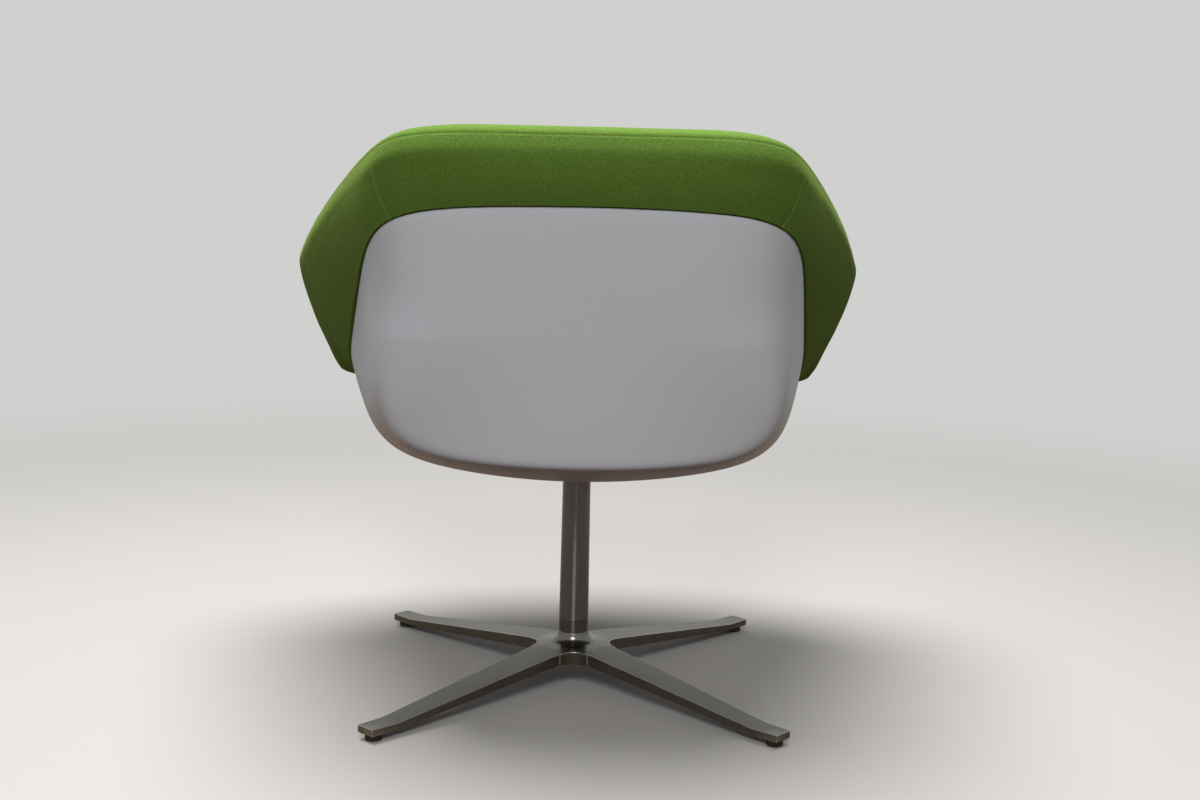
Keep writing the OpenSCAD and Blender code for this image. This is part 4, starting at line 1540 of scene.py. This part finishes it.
@dataclass(frozen=True)
class BrushedMetal(Finish):
    """Brushed metal, with lines along one way, a slight tarnish and brighter worn places."""

    patches: float = 9.0
    patch_swing: float = 0.14
    grain: Grain = Grain.ROUND
    scale: float = 900.0
    line_depth: float = 0.02 * MM
    tarnish: Colour = (0.05, 0.05, 0.05, 1)
    tarnish_share: float = 0.35
    tarnish_scale: float = 24.0
    tarnish_ends: tuple[float, float] = (0.42, 0.72)
    joints: tuple[float, ...] = ()
    joint_shade_ends: tuple[float, float] = (0.9 * MM, 0.3 * MM)
    joint_shade_colour: Colour = (0.01, 0.01, 0.01, 1)
    worn_from: float = 0.0
    worn_over: float = 50 * MM
    worn_ends: tuple[float, float] = (0.45, 0.6)
    worn_share: float = 0.15
    worn_colour: Colour = (0.75, 0.74, 0.72, 1)
    stretch: float = 0.0
    stretch_turn: float = 0.25
    contrast: float = 0.3
    swing: float = 0.08
    polished_to: float = 0.0
    polished_over: float = 12 * MM
    polish: float = 0.7

    def directions(self, graph: Graph, place: bpy.types.NodeSocket) -> dict[str, bpy.types.NodeSocket]:
        """Works out the distances along and across the brushing.

        Args:
            graph: The material's nodes.
            place: The object's own coordinates.

        Returns:
            What goes into the sockets of the brushed lines' group.
        """
        x, y, z = graph.axes(place)
        if self.grain is Grain.ROUND:
            return {"Along": x, "Across": z, "Third": graph.times(y, DRAWN_OUT)}
        first, second = (graph.math("ABSOLUTE", graph.times(graph.math(way, x, y), DIAGONAL))
                         for way in ("ADD", "SUBTRACT"))
        return {"Along": graph.math("MAXIMUM", first, second), "Across": graph.math("MINIMUM", first, second),
                "Third": z}

    def look(self, graph: Graph, place: bpy.types.NodeSocket, tone: bpy.types.NodeSocket) -> Sockets:
        """Adds the lines, the tarnish, the painted shadow lines at the joints and the wear."""
        ways = self.directions(graph, place)
        lines = Effect.BRUSHED.add(graph, Scale=self.scale, **ways)
        soft = graph.noise(place, self.tarnish_scale, 4.0)
        stain = graph.times(graph.fit(soft, *self.tarnish_ends), self.tarnish_share)
        metal = graph.blend(stain, tone, self.tarnish)
        metal = graph.blend(graph.times(lines["Mask"], self.contrast), metal, (1, 1, 1, 1), "SOFT_LIGHT")
        # Near-black line at each joint's height: a painted shadow of the seam where two parts meet.
        for level in self.joints:
            away = graph.math("ABSOLUTE", graph.math("SUBTRACT", graph.axes(place)[2], level))
            metal = graph.blend(graph.fit(away, *self.joint_shade_ends), metal, self.joint_shade_colour)
        rough = graph.fit(lines["Height"], *NOISE_ENDS, self.roughness - self.swing,
                          self.roughness + self.swing)
        if self.polished_to:
            rough = graph.times(rough, graph.fit(ways["Along"], self.polished_to,
                                                 self.polished_to + self.polished_over, self.polish))
        if self.worn_from:
            worn = graph.times(graph.fit(ways["Along"], self.worn_from, self.worn_from + self.worn_over),
                               graph.fit(soft, *self.worn_ends))
            metal = graph.blend(graph.times(worn, self.worn_share), metal, self.worn_colour)
        sockets = {"Base Color": metal, "Roughness": rough, "Metallic": 1.0,
                   "Normal": graph.bump(lines["Height"], self.line_depth)}
        if self.stretch:
            round_z = graph.node("Tangent", {}, direction_type="RADIAL", axis="Z").outputs[0]
            sockets |= {"Anisotropic": self.stretch, "Anisotropic Rotation": self.stretch_turn,
                        "Tangent": round_z}
        return sockets


@dataclass(frozen=True)
class FinePart(Finish):
    """A small hard part: matt plastic, powder coat, zinc, brass or polished steel."""

    patches: float = 60.0
    patch_swing: float = 0.15
    metallic: float = 0.0
    grain_scale: float = 700.0
    grain_fineness: float = 2.5
    grain_depth: float = 0.05 * MM
    swing: float = 0.2

    def look(self, graph: Graph, place: bpy.types.NodeSocket, tone: bpy.types.NodeSocket) -> Sockets:
        """Adds the grain and the slight change of gloss."""
        fine = Effect.GRAIN.add(graph, Vector=place, Scale=self.grain_scale,
                                Fineness=self.grain_fineness)["Height"]
        low, high = self.roughness * (1 - self.swing), min(1.0, self.roughness * (1 + self.swing))
        return {"Roughness": graph.fit(fine, *NOISE_ENDS, low, high), "Metallic": self.metallic,
                "Normal": graph.bump(fine, self.grain_depth)}


@dataclass(frozen=True)
class Foam(Finish):
    """Cut upholstery foam with open cells."""

    patches: float = 30.0
    patch_swing: float = 0.2
    cells: float = 900.0
    cell_ends: tuple[float, float] = (0.25, 0.7)
    cell_colour: Colour = (0.5, 0.4, 0.22, 1)
    cell_depth: float = 0.6 * MM

    def look(self, graph: Graph, place: bpy.types.NodeSocket, tone: bpy.types.NodeSocket) -> Sockets:
        """Adds the cells."""
        cells = graph.node("TexVoronoi", {"Vector": place, "Scale": self.cells}).outputs["Distance"]
        return {"Base Color": graph.blend(graph.fit(cells, *self.cell_ends), tone, self.cell_colour),
                "Normal": graph.bump(cells, self.cell_depth)}


@dataclass(frozen=True)
class Plywood(Finish):
    """Moulded beech plywood, stained dark, with fine grain lines; the dark stain also stands in for shade
    where the inner shell shows in gaps.
    """

    patches: float = 6.0
    patch_swing: float = 0.2
    dark: Colour = (0.02, 0.012, 0.007, 1)
    scale: float = 240.0
    contrast: float = 0.3
    line_depth: float = 0.08 * MM

    def look(self, graph: Graph, place: bpy.types.NodeSocket, tone: bpy.types.NodeSocket) -> Sockets:
        """Adds the grain."""
        x, y, z = graph.axes(place)
        lines = Effect.BRUSHED.add(graph, Along=y, Across=x, Third=z, Scale=self.scale)
        return {"Base Color": graph.blend(graph.times(lines["Mask"], self.contrast), tone, self.dark),
                "Normal": graph.bump(lines["Height"], self.line_depth)}


# Studio


@dataclass(frozen=True)
class Lamp:
    """A soft lamp, a disc that looks at a point of the chair."""

    name: str
    place: tuple[float, float, float]
    target: tuple[float, float, float]
    size: float
    watts: float
    colour: tuple[float, float, float] = (1.0, 1.0, 1.0)

    def add(self) -> None:
        """Adds the lamp to the scene."""
        light = bpy.data.lights.new(self.name, "AREA")
        light.shape, light.size, light.energy, light.color = "DISK", self.size, self.watts, self.colour
        made = bpy.data.objects.new(self.name, light)
        made.location = self.place
        made.rotation_euler = (Vector(self.target) - Vector(self.place)).to_track_quat("-Z", "Y").to_euler()
        bpy.context.scene.collection.objects.link(made)


@dataclass
class Studio:
    """The pale floor, the soft lights and the camera behind the chair."""

    floor_colour: Colour = screen(194, 191, 187)
    # Bounce light and reflections see the floor dark brown and brownish: painted shade and painted reflection
    # on the chair's underside, while the camera sees it pale.
    bounce_colour: Colour = screen(56, 35, 20)
    mirrored_colour: Colour = screen(150, 130, 110)
    backdrop: Colour = screen(208, 208, 206)
    ambient: Colour = screen(205, 206, 210)
    ambient_strength: float = 0.24
    floor_radius: float = 14.0
    floor_steps: int = 96
    floor_roughness: float = 0.85
    patches: float = 1.5
    patch_swing: float = 0.03
    fade_from: float = 0.9
    fade_to: float = 2.6
    camera_back: float = 2.205
    camera_up: float = 0.71772
    pitch: float = 0.153968
    yaw: float = 0.014862
    roll: float = 0.013886 + math.radians(0.6)
    aside: float = -5.1 * MM
    turn: float = math.radians(-0.9)
    lens: float = 51.81
    sensor_width: float = 36.0
    clip_end: float = 100.0
    lamps: tuple[Lamp, ...] = (
        Lamp("ceiling_light", (0.2, -0.1, 3.2), (0, 0.1, 0.5), 2.0, 136),
        Lamp("camera_side_light", (0.35, 4.1, 2.8), (0, 0.2, 0.4), 1.4, 90),
        Lamp("low_strip_light", (0.1, 3.3, 0.5), (0, 0, 0.2), 0.3, 1.4),
    )

    def light(self) -> None:
        """Sets the lamps and the world, which the camera and reflections see as a plain backdrop."""
        for lamp in self.lamps:
            lamp.add()
        world = bpy.data.worlds.new("soft_room")
        graph = Graph.fresh(world)
        rays = graph.node("LightPath", {}).outputs
        seen = graph.math("MAXIMUM", rays["Is Camera Ray"],
                          graph.math("MAXIMUM", rays["Is Glossy Ray"], rays["Is Transmission Ray"]))
        soft = graph.node("Background", {"Color": self.ambient, "Strength": self.ambient_strength})
        plain = graph.node("Background", {"Color": self.backdrop, "Strength": 1.0})
        both = graph.node("MixShader", {0: seen, 1: soft.outputs[0], 2: plain.outputs[0]})
        graph.node("OutputWorld", {"Surface": both.outputs[0]})
        bpy.context.scene.world = world

    def lay_floor(self) -> None:
        """Makes the floor, which fades into the backdrop far from the chair."""
        bm = bmesh.new()
        bmesh.ops.create_circle(bm, cap_ends=True, segments=self.floor_steps, radius=self.floor_radius)
        floor = new_object(bm, "studio_floor")
        paint = bpy.data.materials.new("pale_floor")
        graph = Graph.fresh(paint)
        place = graph.place()
        tone = Effect.TONE.add(graph, Vector=place, Scale=self.patches, Strength=self.patch_swing,
                               Color=self.floor_colour)["Color"]
        rays = graph.node("LightPath", {}).outputs
        seen = graph.math("MAXIMUM", rays["Is Camera Ray"], rays["Is Glossy Ray"])
        # Camera rays see the pale tone; reflections see the brownish colour and bounce light the dark brown
        # one, a painted reflection and painted shade on the shell's underside.
        mirrored = graph.blend(rays["Is Glossy Ray"], self.bounce_colour, self.mirrored_colour)
        colour = graph.blend(rays["Is Camera Ray"], mirrored, tone)
        matt = graph.node("BsdfPrincipled", {"Base Color": colour, "Roughness": self.floor_roughness})
        away = graph.node("VectorMath", {0: place}, operation="LENGTH").outputs["Value"]
        far = graph.times(graph.fit(away, self.fade_from, self.fade_to), seen)
        glow = graph.node("Emission", {"Color": self.backdrop, "Strength": 1.0})
        both = graph.node("MixShader", {0: far, 1: matt.outputs[0], 2: glow.outputs[0]})
        graph.node("OutputMaterial", {"Surface": both.outputs[0]})
        floor.data.materials.append(paint)

    def aim_camera(self) -> None:
        """Puts the camera where the photograph was taken from, behind the chair."""
        swing = Matrix.Rotation(self.turn, 3, "Z")
        flat_ahead = Vector((-math.sin(self.yaw), -math.cos(self.yaw), 0))
        ahead = flat_ahead * math.cos(self.pitch) - Vector((0, 0, math.sin(self.pitch)))
        level = Vector((-math.cos(self.yaw), math.sin(self.yaw), 0))
        upright = level.cross(ahead)
        right = level * math.cos(self.roll) + upright * math.sin(self.roll)
        up = upright * math.cos(self.roll) - level * math.sin(self.roll)
        axes = [swing @ v for v in (right, up, -ahead)]
        lens = bpy.data.cameras.new("photo_camera")
        lens.lens, lens.sensor_width, lens.clip_end = self.lens, self.sensor_width, self.clip_end
        camera = bpy.data.objects.new("photo_camera", lens)
        place = swing @ (Vector((0, self.camera_back, self.camera_up)) + right * self.aside)
        camera.matrix_world = Matrix.Translation(place) @ Matrix(axes).transposed().to_4x4()
        bpy.context.scene.collection.objects.link(camera)
        bpy.context.scene.camera = camera

    def build(self) -> None:
        """Sets up the whole studio."""
        self.light()
        self.lay_floor()
        self.aim_camera()
        bpy.context.scene.view_settings.view_transform = "Standard"


# The chair


@dataclass
class Finishes:
    """The finishes of every piece."""

    felt: WoolFelt = WoolFelt("green_wool_felt", screen(97, 131, 51), 0.95,
                              dark=screen(66, 97, 32), light=screen(150, 171, 90))
    thread: Thread = Thread("light_green_thread", screen(150, 178, 92), 0.6)
    shell: Moulding = Moulding("shell_plastic_gloss", screen(219, 223, 229), 0.42,
                               scuff=screen(120, 118, 120))
    casting: BrushedMetal = BrushedMetal("cast_aluminium_brushed", screen(108, 107, 102), 0.36,
                                         grain=Grain.ARMS, scale=700.0, tarnish_share=0.12,
                                         worn_from=300 * MM, polished_to=38 * MM)
    # Lighter colour for the bevelled edges: a painted edge highlight, partly rubbed wear.
    edge: BrushedMetal = BrushedMetal("cast_aluminium_edge_highlight", screen(176, 175, 170), 0.3,
                                      grain=Grain.ARMS, scale=700.0, tarnish_share=0.1)
    # The near-black line at 85 mm on the ring is a painted shadow of its seam with the column.
    ring: BrushedMetal = BrushedMetal("ring_steel_dark", screen(86, 84, 84), 0.32, tarnish_share=0.05,
                                      joints=(85 * MM,), stretch=0.95, contrast=0.05, swing=0.015)
    column: BrushedMetal = BrushedMetal("column_steel_brushed", screen(104, 99, 98), 0.34, tarnish_share=0.05,
                                        stretch=0.95, contrast=0.05, swing=0.015)
    zinc: FinePart = FinePart("bright_zinc", screen(200, 202, 205), 0.34, metallic=1.0)
    black_steel: FinePart = FinePart("black_powder_coat", screen(26, 26, 27), 0.55, grain_scale=1500.0,
                                     grain_depth=0.16 * MM)
    spring: FinePart = FinePart("blackened_spring_steel", screen(60, 60, 64), 0.4, metallic=1.0)
    bearing: FinePart = FinePart("bearing_steel_polished", screen(215, 215, 218), 0.12, patch_swing=0.05,
                                 metallic=1.0)
    brass: FinePart = FinePart("cage_brass_satin", screen(214, 180, 110), 0.3, metallic=1.0)
    glide: FinePart = FinePart("glide_plastic_black", screen(24, 24, 25), 0.6, grain_depth=0.1 * MM)
    bush: FinePart = FinePart("bush_plastic_natural", screen(226, 222, 208), 0.5)
    foam: Foam = Foam("padding_foam_cells", screen(238, 226, 190), 0.95)
    # Dark stain: partly a guessed finish, partly painted shade, so that the inner shell reads as shadow in
    # the gaps around the cushion and the collar.
    plywood: Plywood = Plywood("moulded_plywood", screen(74, 58, 44), 0.6)

    def by_node(self) -> dict[str, Finish]:
        """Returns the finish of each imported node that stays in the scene."""
        plan = {
            self.ring: ("base_ring",),
            self.column: ("column_tube",),
            self.zinc: ("column_plug", "base_bolt", "base_washer", "spindle", "plate_bolts", "plate_washers",
                        "tee_nuts", "shell_spacers", "shell_screws"),
            self.glide: ("glide_1", "glide_2", "glide_3", "glide_4"),
            self.bush: ("lower_bush", "upper_bush"),
            self.bearing: ("bearing_lower_race", "bearing_upper_race", "bearing_balls"),
            self.brass: ("bearing_cage",),
            self.spring: ("circlip",),
            self.black_steel: ("seat_plate",),
            self.plywood: ("inner_shell",),
        }
        return {node: finish for finish, nodes in plan.items() for node in nodes}


@dataclass
class Armchair:
    """The whole chair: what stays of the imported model, and the pieces that stand for the rest."""

    finishes: Finishes = field(default_factory=Finishes)
    corner: float = 53.0
    tip: float = -41.0
    slant: float = 4.5
    collar_fill: float = 0.9
    cushion_fill: float = 0.85

    def __post_init__(self) -> None:
        """Works out the forms that the pieces share."""
        centre_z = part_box("outer_shell")[0].z + Bucket.drop
        self.bucket = Bucket(centre_z)
        self.room = Room(centre_z)
        self.form = CollarForm(self.bucket, self.room)

    def place(self, piece: bpy.types.Object, body: Body, slot: Slot, *nodes: str) -> None:
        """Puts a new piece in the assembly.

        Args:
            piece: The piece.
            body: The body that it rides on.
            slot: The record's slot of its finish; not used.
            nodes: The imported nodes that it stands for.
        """
        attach(piece, body.value)
        if nodes:
            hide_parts(*nodes)
        LOG.info("%s: %d faces, for %s", piece.name, len(piece.data.polygons), ", ".join(nodes) or "nothing")

    def upholster(self, cover: bpy.types.Object, foam: bpy.types.Object, node: str, fill: float) -> None:
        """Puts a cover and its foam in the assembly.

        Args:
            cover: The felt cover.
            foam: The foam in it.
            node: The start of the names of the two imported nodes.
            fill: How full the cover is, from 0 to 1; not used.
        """
        self.finishes.felt.dress(cover)
        self.finishes.foam.dress(foam)
        self.place(cover, Body.SEAT, Slot.FELT, node + "_cover")
        self.place(foam, Body.SEAT, Slot.FOAM, node + "_foam")

    def build_collar(self) -> None:
        """Builds the three panels of the collar and the stitches at its two corners."""
        far_corner, far_tip = HALF_TURN - self.corner, HALF_TURN - self.tip
        spans = (
            PadSpan("back", self.corner, far_corner, -self.slant, self.slant),
            PadSpan("left_arm", self.tip, self.corner, slant_end=-self.slant, free_start=True),
            PadSpan("right_arm", far_tip, far_corner, slant_end=self.slant, free_start=True),
        )
        for span in spans:
            pad = CollarPad(self.form, span)
            self.upholster(*pad.build(), span.name, self.collar_fill)
            if not span.free_start:
                for at_end in (False, True):
                    seam = SeamStitches(pad, at_end).build()
                    self.finishes.thread.dress(seam)
                    self.place(seam, Body.SEAT, Slot.FELT)

    def build_cushion(self) -> None:
        """Builds the seat cushion."""
        cushion = SeatCushion(self.bucket, self.room, self.bucket.centre_z - self.bucket.floor_drop)
        self.upholster(*cushion.build(), "seat", self.cushion_fill)

    def build_hard_pieces(self) -> None:
        """Builds the shell and the base."""
        crisp = replace(self.bucket, soft_crease=90.0, dish_back=0.85, sharpening=1.7, sharp_from=0.2)
        shell = OuterShell(crisp).build()
        self.finishes.shell.dress(shell)
        self.place(shell, Body.SEAT, Slot.SHELL, "outer_shell")
        base = StarBase().build()
        # The second material makes the bevels lighter: a painted edge highlight, partly rubbed wear.
        for index, finish in enumerate((self.finishes.casting, self.finishes.edge)):
            base.data.materials[index] = finish.material()
        self.place(base, Body.BASE, Slot.CASTING, "star_base")

    def build(self) -> None:
        """Builds and dresses the chair."""
        self.build_hard_pieces()
        self.build_collar()
        self.build_cushion()
        for node, finish in self.finishes.by_node().items():
            finish.dress(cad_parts[node])
            LOG.info("%s: packed node, dressed with %s", node, finish.name)


def main() -> None:
    """Builds the studio and the chair."""
    logging.basicConfig(level=logging.INFO, format="%(message)s")
    Studio().build()
    Armchair().build()


if __name__ == "__main__":
    main()
